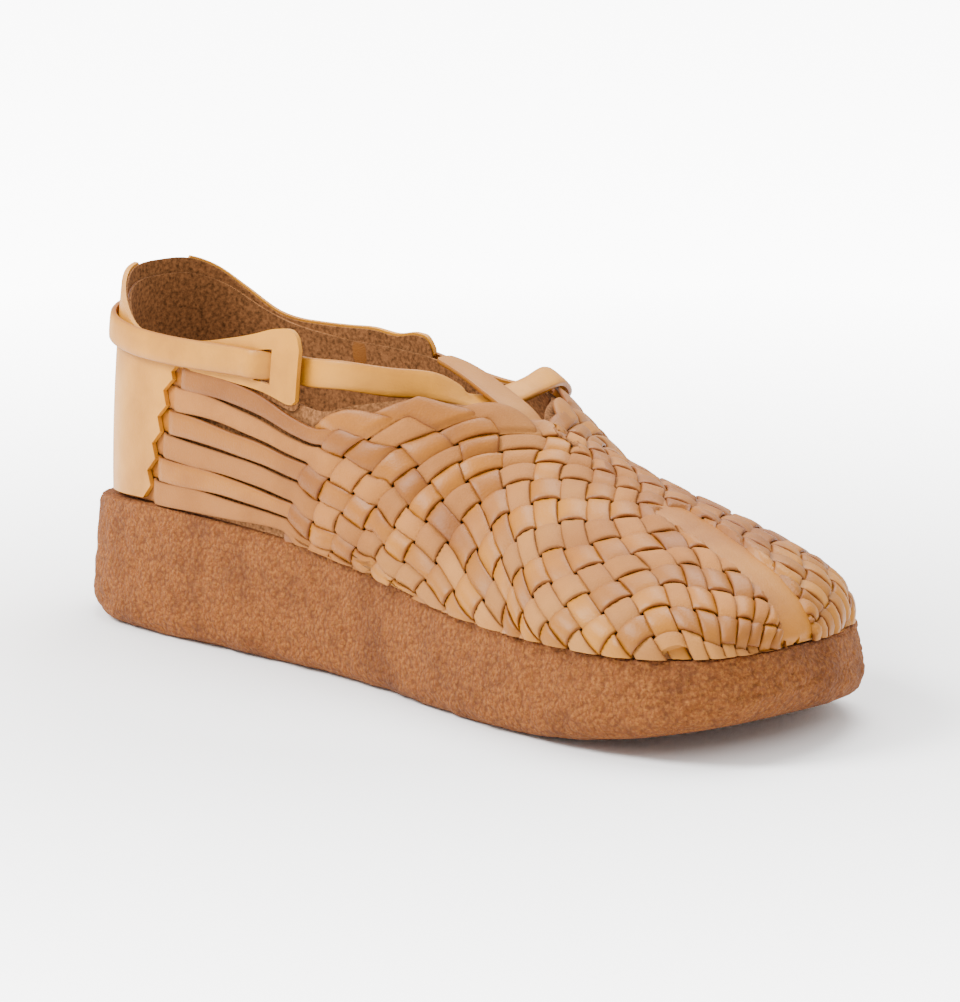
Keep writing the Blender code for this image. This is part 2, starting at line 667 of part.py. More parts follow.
class WovenUpper:
    """The hollow upper: rear strips, diagonal weave and a plain inside."""

    def __init__(self, bm):
        self.bm = bm
        self.nodes = {}
        self.places = {}
        self.outer = {}
        self.inner = {}

    def vertex(self, k, side, v, offset):
        """Vertex off the last; on the foot line it stays level with the sole."""
        if v > 0.0:
            return self.bm.verts.new(on_last(k, side, v, offset))
        spot = foot_line(k, side) + outline_normal(k, side) * offset
        return self.bm.verts.new((spot.x, spot.y, sole_top(spot.x) + FIT_GAP))

    def relief(self, k, side, v, high):
        low_offset, high_offset, _ = wall_offsets(k)
        if plug_cover(last_point(k, side, v)):
            return PLUG_SEAT
        return high_offset if high else low_offset

    def inner_chain(self, k_at, side, ridge, key):
        """Inside chain of a column from its top down to the foot line."""
        chain = []
        for i in range(7):
            k = k_at(i / 6.0)
            top = 1.0 if ridge else edge_rise(k, side)
            shared = ridge and i == 0
            if shared and key in self.nodes:
                chain.append(self.nodes[key])
                continue
            vert = self.vertex(k, side, top * (1.0 - i / 6.0), wall_offsets(k)[2])
            if shared:
                self.nodes[key] = vert
            chain.append(vert)
        return chain

    def lattice_column(self, column, side):
        """Outer nodes of a weave column from its top down to the foot line."""
        end = rows_to_foot(column, side)
        whole = max(int(math.floor(end - 0.45)), 1)
        ridge = column >= THROAT_COLUMN
        chain = []
        places = []
        for row in range(whole + 1):
            k = weave_station(column, row)
            top = ridge and row == 0
            v = 1.0 if top else Girth(k, side).rise(row * row_height(column))
            places.append((k, v))
            if top and (column, "out") in self.nodes:
                chain.append(self.nodes[(column, "out")])
                continue
            high = (column + row) % 2 == 0
            vert = self.vertex(k, side, v, self.relief(k, side, v, high))
            if top:
                self.nodes[(column, "out")] = vert
            chain.append(vert)
        k = weave_station(column, end)
        chain.append(self.vertex(k, side, 0.0, STRIP_LOW))
        places.append((k, 0.0))
        self.outer[(column, side)] = chain
        self.places[(column, side)] = places
        key = (column, "in")
        self.inner[(column, side)] = self.inner_chain(
            lambda t: weave_station(column, end * t), side, ridge, key)

    def woven_square(self, column, row, side):
        """One lattice square: half of an upper strip and half of a lower one."""
        here = self.outer[(column, side)]
        ahead = self.outer[(column + 1, side)]
        spots = self.places[(column, side)]
        spots_ahead = self.places[(column + 1, side)]
        even = (column + row) % 2 == 0
        if even:
            raised, sunk = (here[row], ahead[row + 1])
            corner_a, corner_b = (ahead[row], here[row + 1])
            toward = spots_ahead[row + 1]
        else:
            raised, sunk = (here[row + 1], ahead[row])
            corner_a, corner_b = (here[row], ahead[row + 1])
            toward = spots_ahead[row]
        if (row + (0 if even else 1)) % 2 != 0:
            raised, sunk = (sunk, raised)
            toward = spots[row] if even else spots[row + 1]
        middle = [
            0.25 * sum(place[i] for place in (
                spots[row], spots[row + 1], spots_ahead[row], spots_ahead[row + 1]))
            for i in range(2)
        ]
        share = STRIP_STEP / (0.75 * BALL_WIDTH / 10.0)
        k_low = middle[0] + (toward[0] - middle[0]) * share
        v_low = middle[1] + (toward[1] - middle[1]) * share
        crest = self.vertex(middle[0], side, middle[1],
                            self.relief(middle[0], side, middle[1], True))
        ditch = self.vertex(k_low, side, v_low,
                            self.relief(k_low, side, v_low, False))
        bm = self.bm
        add_face(bm, raised, corner_a, crest)
        add_face(bm, raised, crest, corner_b)
        add_face(bm, corner_a, ditch, crest)
        add_face(bm, corner_b, crest, ditch)
        add_face(bm, sunk, ditch, corner_a)
        add_face(bm, sunk, corner_b, ditch)

    def weave(self, side):
        for column in range(FIRST_COLUMN, LAST_COLUMN + 1):
            self.lattice_column(column, side)
        for column in range(FIRST_COLUMN, LAST_COLUMN):
            here = self.outer[(column, side)]
            ahead = self.outer[(column + 1, side)]
            rows = min(len(here), len(ahead)) - 2
            for row in range(rows):
                self.woven_square(column, row, side)
            bridge(self.bm, here[rows:], ahead[rows:])
            bridge_even(self.bm, self.inner[(column, side)], self.inner[(column + 1, side)])

    def rear_chain(self, k, side):
        """Outer chain of the rear wall: strips with narrow grooves between."""
        girth = Girth(k, side)
        chain = []
        for strip in range(REAR_STRIPS):
            for share, high in ((0.0, False), (0.16, True), (0.84, True)):
                v = girth.rise(girth.length * (strip + share) / REAR_STRIPS)
                chain.append(self.vertex(k, side, v, self.relief(k, side, v, high)))
        chain.append(self.vertex(k, side, 0.0, wall_offsets(k)[0]))
        return chain

    def rear(self, side, shared):
        """Rear wall of one side, from the heel's back to the weave."""
        outer = []
        inner = []
        for index, k in enumerate(REAR_STATIONS):
            if index == 0 and shared is not None:
                outer.append(shared[0])
                inner.append(shared[1])
                continue
            outer.append(self.rear_chain(k, side))
            inner.append(self.inner_chain(lambda t, k=k: k, side, False, (k, side)))
        for i in range(len(outer) - 1):
            bridge_even(self.bm, outer[i], outer[i + 1])
            bridge_even(self.bm, inner[i], inner[i + 1])
        bridge(self.bm, outer[-1], self.outer[(FIRST_COLUMN, side)])
        bridge_even(self.bm, inner[-1], self.inner[(FIRST_COLUMN, side)])
        return outer, inner

    def build(self):
        bm = self.bm
        for side in (-1, 1):
            self.weave(side)
        outer_in, inner_in = self.rear(-1, None)
        outer_out, inner_out = self.rear(1, (outer_in[0], inner_in[0]))
        tip_outer = self.vertex(1.0, -1, 0.0, PLUG_SEAT)
        tip_inner = self.vertex(1.0, -1, 0.0, WALL_INNER)
        for store, tip in ((self.outer, tip_outer), (self.inner, tip_inner)):
            for side in (-1, 1):
                chain = store[(LAST_COLUMN, side)]
                for i in range(len(chain) - 1):
                    add_face(bm, chain[i], chain[i + 1], tip)
        columns = range(FIRST_COLUMN, LAST_COLUMN + 1)
        for side, outs, ins in ((-1, outer_in, inner_in), (1, outer_out, inner_out)):
            foot_out = [chain[-1] for chain in outs]
            foot_in = [chain[-1] for chain in ins]
            foot_out += [self.outer[(c, side)][-1] for c in columns] + [tip_outer]
            foot_in += [self.inner[(c, side)][-1] for c in columns] + [tip_inner]
            bridge_even(bm, foot_out, foot_in)
            edge = range(FIRST_COLUMN, THROAT_COLUMN + 1)
            edge_out = [chain[0] for chain in outs] + [self.outer[(c, side)][0] for c in edge]
            edge_in = [chain[0] for chain in ins] + [self.inner[(c, side)][0] for c in edge]
            bridge_even(bm, edge_out, edge_in)


def wall_frame(k, side, height, drop):
    """Centre, run along the strips, run across them and outward direction."""
    centre = last_point(k, side, rise_at_height(k, side, height))
    normal = last_normal(k, side, rise_at_height(k, side, height))
    behind = last_point(k - 0.02, side, rise_at_height(k - 0.02, side, height + drop))
    ahead = last_point(k + 0.02, side, rise_at_height(k + 0.02, side, height - drop))
    along = (ahead - behind).normalized()
    return centre, along, normal.cross(along), normal


def hidden_cutter(name, bm):
    """Guide solid that is only used to cut others."""
    bmesh.ops.recalc_face_normals(bm, faces=bm.faces[:])
    mesh = bpy.data.meshes.new(name)
    bm.to_mesh(mesh)
    bm.free()
    cutter = bpy.data.objects.new(name, mesh)
    bpy.context.collection.objects.link(cutter)
    cutter.hide_render = True
    cutter.display_type = "WIRE"
    return cutter


def gap_cutter(name, k, side, height, length, width):
    """Lens-shaped prism through the wall, lying along the strips."""
    centre, along, across, normal = wall_frame(k, side, height, 0.003)
    bm = bmesh.new()
    rings = []
    for depth in (-0.006, 0.005):
        ring = []
        for i in range(12):
            angle = 2.0 * math.pi * i / 12.0
            reach = along * (0.5 * length * math.cos(angle))
            swing = across * (0.5 * width * math.sin(angle))
            ring.append(centre + normal * depth + reach + swing)
        rings.append(add_chain(bm, ring))
    bridge_even(bm, rings[0] + rings[0][:1], rings[1] + rings[1][:1])
    bm.faces.new(rings[0])
    bm.faces.new(rings[1])
    return hidden_cutter(name, bm)


def slit_cutter(name, side):
    """Box through the ear where the heel strap passes inside."""
    height = STRAP_HEIGHT[side](SLIT_STATION) * COLLAR_HEIGHT
    centre, along, across, normal = wall_frame(SLIT_STATION, side, height, 0.0)
    half_high = 0.5 * STRAP_WIDTH + SLIT_CLEARANCE
    bm = bmesh.new()
    bmesh.ops.create_cube(bm, size=2.0)
    for vert in bm.verts:
        x, y, z = vert.co
        reach = along * (0.5 * SLIT_LENGTH * x)
        vert.co = centre + reach + across * (half_high * y) + normal * (0.004 * z)
    return hidden_cutter(name, bm)


def cut(thing, cutter):
    knife = thing.modifiers.new(cutter.name, "BOOLEAN")
    knife.operation = "DIFFERENCE"
    knife.solver = "EXACT"
    knife.object = cutter


def build_upper(leather):
    bm = bmesh.new()
    WovenUpper(bm).build()
    upper = object_from_bmesh("upper", bm, leather)
    for side, word in ((-1, "in"), (1, "out")):
        for number, (k, height, length, width) in enumerate(REAR_GAPS):
            name = "cut_gap_%s_%d" % (word, number)
            cutter = gap_cutter(name, k, side, height * COLLAR_HEIGHT, length, width)
            cut(upper, cutter)
    return upper


def sheet_between(bm, under, over, keep=None):
    """Solid sheet between two equal grids of points; keep picks its cells."""
    grids = [[add_chain(bm, row) for row in grid] for grid in (under, over)]
    cells = []
    for i in range(len(under) - 1):
        for j in range(len(under[0]) - 1):
            if keep is None or keep(i, j):
                cells.append(((i, j), (i + 1, j), (i + 1, j + 1), (i, j + 1)))
    edges = {}
    for cell in cells:
        for grid in grids:
            add_face(bm, *[grid[i][j] for i, j in cell])
        for first, second in zip(cell, cell[1:] + cell[:1]):
            key = (min(first, second), max(first, second))
            edges[key] = edges.get(key, 0) + 1
    low, high = grids
    for ((i, j), (m, n)), count in edges.items():
        if count == 1:
            add_face(bm, low[i][j], low[m][n], high[m][n], high[i][j])
    loose = [vert for vert in bm.verts if not vert.link_faces]
    bmesh.ops.delete(bm, geom=loose, context="VERTS")


def build_counter(leather):
    """Heel counter with an ear at each side, outside the lining."""
    inner = LINING_OUTER + FIT_GAP
    outer = inner + COUNTER_THICKNESS
    low_rows = 5
    high_rows = 4
    grids = ([], [])
    keys = [(k, 1) for k in (HEEL_STATIONS + EAR_STATIONS[1])[::-1]]
    keys += [(k, -1) for k in HEEL_STATIONS[1:] + EAR_STATIONS[-1]]
    for k, side in keys:
        high = COUNTER_TOP[side](k) * COLLAR_HEIGHT
        low = max(COUNTER_LOW[side](k) * COLLAR_HEIGHT, foot_line(k, side).z + 0.0012)
        split = last_point(k, side, edge_rise(k, side)).z + 0.0008
        split = min(split, high - 0.0015)
        heights = [low + (split - low) * i / low_rows for i in range(low_rows)]
        heights += [split + (high - split) * i / high_rows for i in range(high_rows + 1)]
        for grid, offset in zip(grids, (inner, outer)):
            chain = []
            for height in heights:
                chain.append(on_last(k, side, rise_at_height(k, side, height), offset))
            grid.append(chain)

    def keep(i, j):
        behind = keys[i][0] <= COUNTER_END and keys[i + 1][0] <= COUNTER_END
        return behind or j >= low_rows

    bm = bmesh.new()
    sheet_between(bm, grids[0], grids[1], keep)
    counter = object_from_bmesh("heel_counter", bm, leather)
    cut(counter, slit_cutter("cut_slit_in", -1))
    return counter


def build_plug(leather):
    """Toe plug: a smooth patch over the flat middle of the toe."""
    inner = PLUG_SEAT + 0.0008
    outer = inner + PLUG_THICKNESS
    stations = [PLUG_START, PLUG_START + 0.006, PLUG_START + 0.02]
    stations += spaced(PLUG_START + 0.05, PLUG_END, 11) + [PLUG_END]
    grids = ([], [])
    for k in stations:
        lead = min(max((k - PLUG_START) / 0.02, 0.0), 1.0)
        half = PLUG_HALF_WIDTH * math.sqrt(0.35 + 0.65 * lead)
        chains = ([], [])
        for i in range(-4, 5):
            side = -1 if i < 0 else 1
            girth = Girth(k, side)
            down = abs(i) / 4.0 * min(half, girth.length - 0.0006)
            v = girth.rise(down)
            for chain, offset in zip(chains, (inner, outer)):
                chain.append(on_last(k, side, v, offset))
        grids[0].append(chains[0])
        grids[1].append(chains[1])
    bm = bmesh.new()
    sheet_between(bm, grids[0], grids[1])
    return object_from_bmesh("toe_plug", bm, leather)


def ribbon(bm, centres, widths, normals, half_widths, half_thick, closed):
    """Flat strip along a line of centres."""
    rings = []
    for centre, wide, normal, half in zip(centres, widths, normals, half_widths):
        ring = []
        for a, b in ((-1, -1), (1, -1), (1, 1), (-1, 1)):
            ring.append(centre + wide * half * a + normal * half_thick * b)
        rings.append(add_chain(bm, ring))
    pairs = list(zip(rings, rings[1:]))
    if closed:
        pairs.append((rings[-1], rings[0]))
    else:
        bm.faces.new(rings[0])
        bm.faces.new(rings[-1])
    for first, second in pairs:
        bridge_even(bm, first + first[:1], second + second[:1])


def free_row(row, side):
    """Centre and face direction of one row of the strap's free part."""
    length, across, height, up, ahead = row
    tilt = math.radians(up)
    turn = math.radians(ahead)
    point = Vector(((length - 0.5) * SHOE_LENGTH, across * BALL_WIDTH,
                    height * INSTEP_HEIGHT))
    level = Vector((math.sin(turn), side * math.cos(turn), 0.0))
    return point, level * math.cos(tilt) + Vector((0.0, 0.0, math.sin(tilt)))


def strap_side(side):
    """Centres and face directions of the strap from the heel to the instep."""
    rows = []
    for k in STRAP_STATIONS:
        v = rise_at_height(k, side, STRAP_HEIGHT[side](k) * COLLAR_HEIGHT)
        rows.append((on_last(k, side, v, STRAP_OFFSET[side](k)), last_normal(k, side, v)))
    rows += [free_row(row, side) for row in STRAP_FREE[side]]
    return rows


def smooth_loop(values, parts):
    """Closed smooth curve through the values, with more points."""
    count = len(values)
    made = []
    for i in range(count):
        p0, p1, p2, p3 = (values[(i + j - 1) % count] for j in range(4))
        for s in range(parts):
            t = s / parts
            bend = (p0 * 2.0 - p1 * 5.0 + p2 * 4.0 - p3) * t * t
            twist = (p1 * 3.0 - p0 - p2 * 3.0 + p3) * t ** 3
            made.append((p1 * 2.0 + (p2 - p0) * t + bend + twist) * 0.5)
    return made


def build_strap(leather):
    """Heel strap: around the heel, in through the ears, over the instep."""
    rows = strap_side(-1)
    rows.append(free_row(STRAP_CROSSING, 1))
    rows += strap_side(1)[:0:-1]
    centres = smooth_loop([row[0] for row in rows], 2)
    faces = smooth_loop([row[1] for row in rows], 2)
    bm = bmesh.new()
    wides = []
    normals = []
    for i, face in enumerate(faces):
        ahead = centres[(i + 1) % len(centres)] - centres[i - 1]
        ahead.normalize()
        normal = (face - ahead * face.dot(ahead)).normalized()
        normals.append(normal)
        wides.append(ahead.cross(normal))
    halves = [0.5 * STRAP_WIDTH] * len(centres)
    ribbon(bm, centres, wides, normals, halves, 0.5 * STRAP_THICKNESS, True)
    return object_from_bmesh("heel_strap", bm, leather)


def build_tab(leather):
    """Instep tab: a tapered strip that stands up behind the throat."""
    table = [(i / (len(TAB_LINE) - 1.0), *row) for i, row in enumerate(TAB_LINE)]
    length, height, width = (Curve(table, column) for column in (1, 2, 3))
    centres = []
    halves = []
    for i in range(15):
        t = i / 14.0
        x = (length(t) - 0.5) * SHOE_LENGTH
        z = height(t) * INSTEP_HEIGHT + 0.5 * TAB_THICKNESS
        centres.append(Vector((x, STRAP_CROSSING[1] * BALL_WIDTH, z)))
        halves.append(0.5 * TAB_WIDTH * width(t))
    wide = Vector((0.0, 1.0, 0.0))
    normals = []
    for i in range(15):
        ahead = centres[min(i + 1, 14)] - centres[max(i - 1, 0)]
        normals.append(wide.cross(-ahead).normalized())
    bm = bmesh.new()
    ribbon(bm, centres, [wide] * 15, normals, halves, 0.5 * TAB_THICKNESS, False)
    return object_from_bmesh("instep_tab", bm, leather)


def main():
    clear_scene()
    crepe = material("crepe_rubber", (0.46, 0.20, 0.075), 0.85)
    tan = material("tan_leather", (0.74, 0.47, 0.22), 0.55)
    tan_smooth = material("smooth_tan_leather", (0.72, 0.44, 0.20), 0.45)
    suede = material("brown_suede", (0.23, 0.12, 0.045), 0.95)
    build_sole(crepe)
    build_insole(suede)
    build_upper(tan)
    build_counter(tan_smooth)
    build_plug(tan_smooth)
    build_strap(tan_smooth)
    build_tab(tan_smooth)


main()
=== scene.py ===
"""Visual model of a woven leather sandal on a crepe wedge sole, left foot.

Axes: +X to the toe, +Y to the outer side, +Z up, metres, floor at z = 0.
The wall of the upper is worked out from a few section tables; every strip,
panel and strap is laid on that wall.
"""

import logging
import math
from bisect import bisect_right
from dataclasses import dataclass
from enum import Enum
from functools import lru_cache
from typing import Callable, Sequence

import bmesh
import bpy
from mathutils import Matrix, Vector, noise

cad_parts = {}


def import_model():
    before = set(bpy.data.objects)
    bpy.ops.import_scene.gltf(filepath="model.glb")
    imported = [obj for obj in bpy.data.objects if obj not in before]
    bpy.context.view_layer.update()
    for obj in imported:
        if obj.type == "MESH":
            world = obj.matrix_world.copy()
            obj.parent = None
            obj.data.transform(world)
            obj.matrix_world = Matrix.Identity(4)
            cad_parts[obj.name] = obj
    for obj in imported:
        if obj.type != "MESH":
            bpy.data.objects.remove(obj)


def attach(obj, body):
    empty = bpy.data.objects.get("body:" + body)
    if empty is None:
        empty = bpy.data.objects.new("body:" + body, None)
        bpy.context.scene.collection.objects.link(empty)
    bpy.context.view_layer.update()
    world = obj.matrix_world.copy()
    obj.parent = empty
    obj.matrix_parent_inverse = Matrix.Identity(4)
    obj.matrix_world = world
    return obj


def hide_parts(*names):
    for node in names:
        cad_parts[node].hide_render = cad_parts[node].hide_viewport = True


LOG = logging.getLogger("sandal")

SHOE_LENGTH = 0.290
BALL_WIDTH = 0.112
HEEL_HEIGHT = 0.0376
INSTEP_HEIGHT = 0.077
COLLAR_HEIGHT = 0.104
TOE_SPRING = 0.0123
HEEL_ROLL = 0.0022
FIT_GAP = 0.0004

# Length shares over which the sole rises to the toe and rolls at the heel
SPRING_START = 0.70
SPRING_SPAN = 0.30
ROLL_SPAN = 0.12

# From this station on both sides of the last meet in the ridge; the wall's
# slope and the strips run over it a little further ahead
RIDGE_START = 0.5
RIDGE_OPEN = 0.51

# Steps along the stations and up the wall over which slopes are measured
NUDGE = 0.006
RISE_NUDGE = 0.02

# Halvings by which a rise up the wall and a strip's last row are found
RISE_HALVINGS = 24
ROW_HALVINGS = 22

# Distance below which two vertices are one
WELD = 1.0e-6

# Outline of the sole, one row per station.
# station, length share and half width share of each side, margin of the
# upper inside the outline as a share of the ball width
OUTLINE = [
    # k,   in_len, in_wid, out_len, out_wid, margin
    (0.00, 0.0000, 0.000, 0.000, 0.000, 0.071),
    (0.03, 0.0100, 0.116, 0.010, 0.116, 0.071),
    (0.07, 0.0400, 0.246, 0.040, 0.246, 0.067),
    (0.12, 0.1000, 0.344, 0.100, 0.344, 0.054),
    (0.18, 0.1800, 0.378, 0.180, 0.373, 0.038),
    (0.27, 0.3000, 0.377, 0.300, 0.398, 0.025),
    (0.36, 0.4200, 0.378, 0.420, 0.438, 0.021),
    (0.45, 0.5400, 0.407, 0.540, 0.480, 0.020),
    (0.54, 0.6600, 0.464, 0.660, 0.509, 0.020),
    (0.62, 0.7600, 0.496, 0.760, 0.482, 0.021),
    (0.70, 0.8500, 0.502, 0.840, 0.415, 0.025),
    (0.77, 0.9150, 0.478, 0.900, 0.348, 0.030),
    (0.83, 0.9600, 0.420, 0.943, 0.246, 0.036),
    (0.88, 0.9850, 0.357, 0.968, 0.147, 0.038),
    (0.93, 0.9960, 0.281, 0.985, 0.049, 0.039),
    (0.97, 0.9995, 0.196, 0.993, -0.027, 0.040),
    (1.00, 0.9980, 0.107, 0.998, -0.107, 0.040),
]

# Height of the sole's top over the length, as a share of the heel height
SOLE_TOP = [
    # length, height
    (0.00, 0.891),
    (0.06, 0.944),
    (0.15, 1.000),
    (0.30, 0.989),
    (0.42, 0.936),
    (0.55, 0.824),
    (0.62, 0.771),
    (0.70, 0.734),
    (0.80, 0.718),
    (0.90, 0.723),
    (0.96, 0.750),
    (1.00, 0.787),
]

# Top line of the last: behind the throat the two sides part, from the
# throat on both meet in the ridge.  Length share, across as a share of the
# ball width, height as a share of the instep height, then how the wall
# bends between sole and top line: lean, rise and fullness.
TOP_LINE = [
    # k,   len,    in_y,   in_z,  out_y, out_z, lean,  rise, full
    (0.00, 0.0400, 0.000, 1.351, 0.000, 1.351, -0.10, 0.55, 0.80),
    (0.03, 0.0440, -0.089, 1.344, 0.089, 1.344, -0.10, 0.55, 0.80),
    (0.07, 0.0660, -0.179, 1.325, 0.179, 1.325, -0.08, 0.55, 0.80),
    (0.12, 0.1140, -0.250, 1.299, 0.250, 1.299, -0.05, 0.55, 0.80),
    (0.18, 0.1850, -0.290, 1.273, 0.295, 1.260, -0.02, 0.60, 0.80),
    (0.27, 0.3000, -0.313, 1.260, 0.321, 1.221, 0.00, 0.60, 0.80),
    (0.34, 0.3950, -0.321, 1.247, 0.326, 1.143, 0.00, 0.60, 0.75),
    (0.40, 0.4700, -0.299, 1.117, 0.304, 1.026, 0.00, 0.72, 0.60),
    (0.45, 0.5400, -0.179, 1.039, 0.205, 0.994, 0.00, 0.88, 0.40),
    (0.49, 0.5850, -0.036, 1.000, 0.071, 0.981, 0.00, 0.97, 0.30),
    (0.51, 0.6100, 0.018, 0.935, 0.018, 0.935, 0.00, 1.00, 0.28),
    (0.56, 0.6750, 0.009, 0.838, 0.009, 0.838, 0.00, 1.00, 0.30),
    (0.62, 0.7500, -0.018, 0.760, -0.018, 0.760, 0.00, 1.00, 0.42),
    (0.70, 0.8400, -0.045, 0.675, -0.045, 0.675, 0.00, 1.00, 0.60),
    (0.77, 0.8900, -0.071, 0.623, -0.071, 0.623, 0.00, 1.00, 0.70),
    (0.83, 0.9290, -0.080, 0.565, -0.080, 0.565, 0.00, 1.00, 0.75),
    (0.88, 0.9540, -0.089, 0.513, -0.089, 0.513, 0.00, 1.00, 0.75),
    (0.93, 0.9720, -0.098, 0.461, -0.098, 0.461, 0.00, 1.00, 0.72),
    (0.97, 0.9810, -0.103, 0.422, -0.103, 0.422, 0.00, 1.00, 0.70),
    (1.00, 0.9835, -0.107, 0.403, -0.107, 0.403, 0.00, 1.00, 0.70),
]

# Collar edge of the woven wall, heights as a share of the collar height
COLLAR_EDGE = [
    # k,    inner, outer
    (0.000, 0.942, 0.942),
    (0.030, 0.937, 0.937),
    (0.070, 0.913, 0.900),
    (0.120, 0.840, 0.812),
    (0.180, 0.788, 0.770),
    (0.270, 0.764, 0.748),
    (0.310, 0.752, 0.726),
    (0.345, 0.724, 0.707),
    (0.370, 0.715, 0.704),
    (0.400, 0.744, 0.719),
    (0.425, 0.765, 0.737),
    (0.450, 0.790, 0.752),
]

# Upper edge of the heel counter and its ears as shares of the collar height;
# it starts at the sole, and ahead of the panel at the edge of the woven wall
COUNTER = [
    # k,    inner, outer
    (0.000, 0.990, 0.990),
    (0.030, 0.985, 0.985),
    (0.060, 0.965, 0.952),
    (0.090, 0.915, 0.888),
    (0.120, 0.870, 0.822),
    (0.140, 0.848, 0.806),
    (0.158, 0.838, 0.803),
    (0.190, 0.834, 0.803),
    (0.215, 0.841, 0.806),
    (0.240, 0.851, 0.796),
    (0.265, 0.868, 0.806),
    (0.274, 0.875, 0.798),
    (0.278, 0.878, 0.780),
    (0.295, 0.893, 0.780),
    (0.320, 0.918, 0.780),
    (0.336, 0.921, 0.780),
    (0.346, 0.905, 0.780),
]

# Heel strap where it lies on the wall: its height as a share of the collar
# height and its offset in metres, which turns negative inside the ear's slit
STRAP_ON_WALL = [
    # k,    in_z,  out_z, in_off, out_off
    (0.000, 0.842, 0.842, 0.0020, 0.0020),
    (0.025, 0.840, 0.838, 0.0020, 0.0020),
    (0.050, 0.836, 0.822, 0.0020, 0.0020),
    (0.080, 0.828, 0.796, 0.0020, 0.0020),
    (0.110, 0.819, 0.772, 0.0020, 0.0020),
    (0.150, 0.811, 0.756, 0.0020, 0.0020),
    (0.190, 0.808, 0.748, 0.0020, 0.0020),
    (0.225, 0.809, 0.738, 0.0020, 0.0020),
    (0.250, 0.811, 0.726, 0.0020, 0.0020),
    (0.262, 0.812, 0.719, 0.0021, 0.0020),
    (0.274, 0.813, 0.711, 0.0021, 0.0020),
    (0.286, 0.814, 0.702, 0.0021, 0.0020),
    (0.300, 0.814, 0.690, 0.0021, 0.0020),
    (0.310, 0.814, 0.682, -0.0004, 0.0020),
    (0.320, 0.813, 0.674, -0.0033, 0.0020),
    (0.350, 0.812, 0.661, -0.0036, 0.0020),
]

# Free part of the strap on each side: length share, across as a share of the
# ball width, height as a share of the instep height, and how far its face
# looks up and ahead, in degrees
STRAP_FREE = {
    # len,  across, height, up,  ahead
    -1: [
        (0.445, -0.288, 1.097, 0.0, 4.0),
        (0.485, -0.222, 1.078, 8.0, 20.0),
        (0.511, -0.155, 1.068, 24.0, 42.0),
        (0.5265, -0.104, 1.036, 48.0, 66.0),
        (0.5330, -0.060, 1.001, 64.0, 84.0),
    ],
    1: [
        (0.447, 0.395, 0.903, 10.0, 2.0),
        (0.474, 0.379, 0.936, 26.0, 12.0),
        (0.498, 0.342, 0.992, 40.0, 26.0),
        (0.515, 0.268, 1.036, 58.0, 46.0),
        (0.530, 0.172, 1.028, 70.0, 70.0),
        (0.534, 0.092, 1.010, 67.0, 84.0),
    ],
}

# Where its two ends cross under the instep tab, in the same measures
STRAP_CROSSING = (0.5340, 0.014, 0.990, 66.0, 90.0)

# Instep tab from its root under the throat to its standing tip
TAB_LINE = [
    # len,   height, width
    (0.6300, 0.816, 0.90),
    (0.6120, 0.847, 0.95),
    (0.5930, 0.895, 1.00),
    (0.5730, 0.952, 1.00),
    (0.5540, 0.988, 1.00),
    (0.5340, 1.020, 1.00),
    (0.5120, 1.054, 0.98),
    (0.4880, 1.084, 0.90),
    (0.4700, 1.100, 0.76),
    (0.4640, 1.106, 0.56),
]


class Curve:
    """Smooth curve through one column of a table over its first column."""

    def __init__(self, table: Sequence[Sequence[float]], column: int) -> None:
        """Work out the lengths and slopes.

        Args:
            table: rows of numbers.
            column: which column to read.
        """
        self.xs = [row[0] for row in table]
        self.ys = [row[column] for row in table]
        step = [b - a for a, b in zip(self.xs, self.xs[1:])]
        rise = [b - a for a, b in zip(self.ys, self.ys[1:])]
        rate = [r / s for r, s in zip(rise, step)]
        slope = [0.0] * len(self.xs)
        for i in range(1, len(self.xs) - 1):
            total = step[i] + step[i - 1]
            slope[i] = (rate[i - 1] * step[i] + rate[i] * step[i - 1]) / total
        slope[0] = 1.5 * rate[0] - 0.5 * slope[1]
        slope[-1] = 1.5 * rate[-1] - 0.5 * slope[-2]
        self.step = step
        self.slope = slope

    def __call__(self, where: float) -> float:
        """Read the curve.

        Args:
            where: place on the first column.

        Returns:
            The smooth value.
        """
        at = min(max(where, self.xs[0]), self.xs[-1])
        i = min(max(bisect_right(self.xs, at) - 1, 0), len(self.step) - 1)
        wide = self.step[i]
        t = (at - self.xs[i]) / wide
        a = (2.0 * t ** 3 - 3.0 * t ** 2 + 1.0) * self.ys[i]
        b = (t ** 3 - 2.0 * t ** 2 + t) * wide * self.slope[i]
        c = (3.0 * t ** 2 - 2.0 * t ** 3) * self.ys[i + 1]
        d = (t ** 3 - t ** 2) * wide * self.slope[i + 1]
        return a + b + c + d


SIDE_LENGTH = {-1: Curve(OUTLINE, 1), 1: Curve(OUTLINE, 3)}
SIDE_WIDTH = {-1: Curve(OUTLINE, 2), 1: Curve(OUTLINE, 4)}
SIDE_MARGIN = Curve(OUTLINE, 5)
TOP_SHARE = Curve(SOLE_TOP, 1)
LINE_LENGTH = Curve(TOP_LINE, 1)
LINE_ACROSS = {-1: Curve(TOP_LINE, 2), 1: Curve(TOP_LINE, 4)}
LINE_HEIGHT = {-1: Curve(TOP_LINE, 3), 1: Curve(TOP_LINE, 5)}
WALL_LEAN = Curve(TOP_LINE, 6)
WALL_RISE = Curve(TOP_LINE, 7)
WALL_FULL = Curve(TOP_LINE, 8)
EDGE_HEIGHT = {-1: Curve(COLLAR_EDGE, 1), 1: Curve(COLLAR_EDGE, 2)}
COUNTER_TOP = {-1: Curve(COUNTER, 1), 1: Curve(COUNTER, 2)}
STRAP_HEIGHT = {-1: Curve(STRAP_ON_WALL, 1), 1: Curve(STRAP_ON_WALL, 2)}
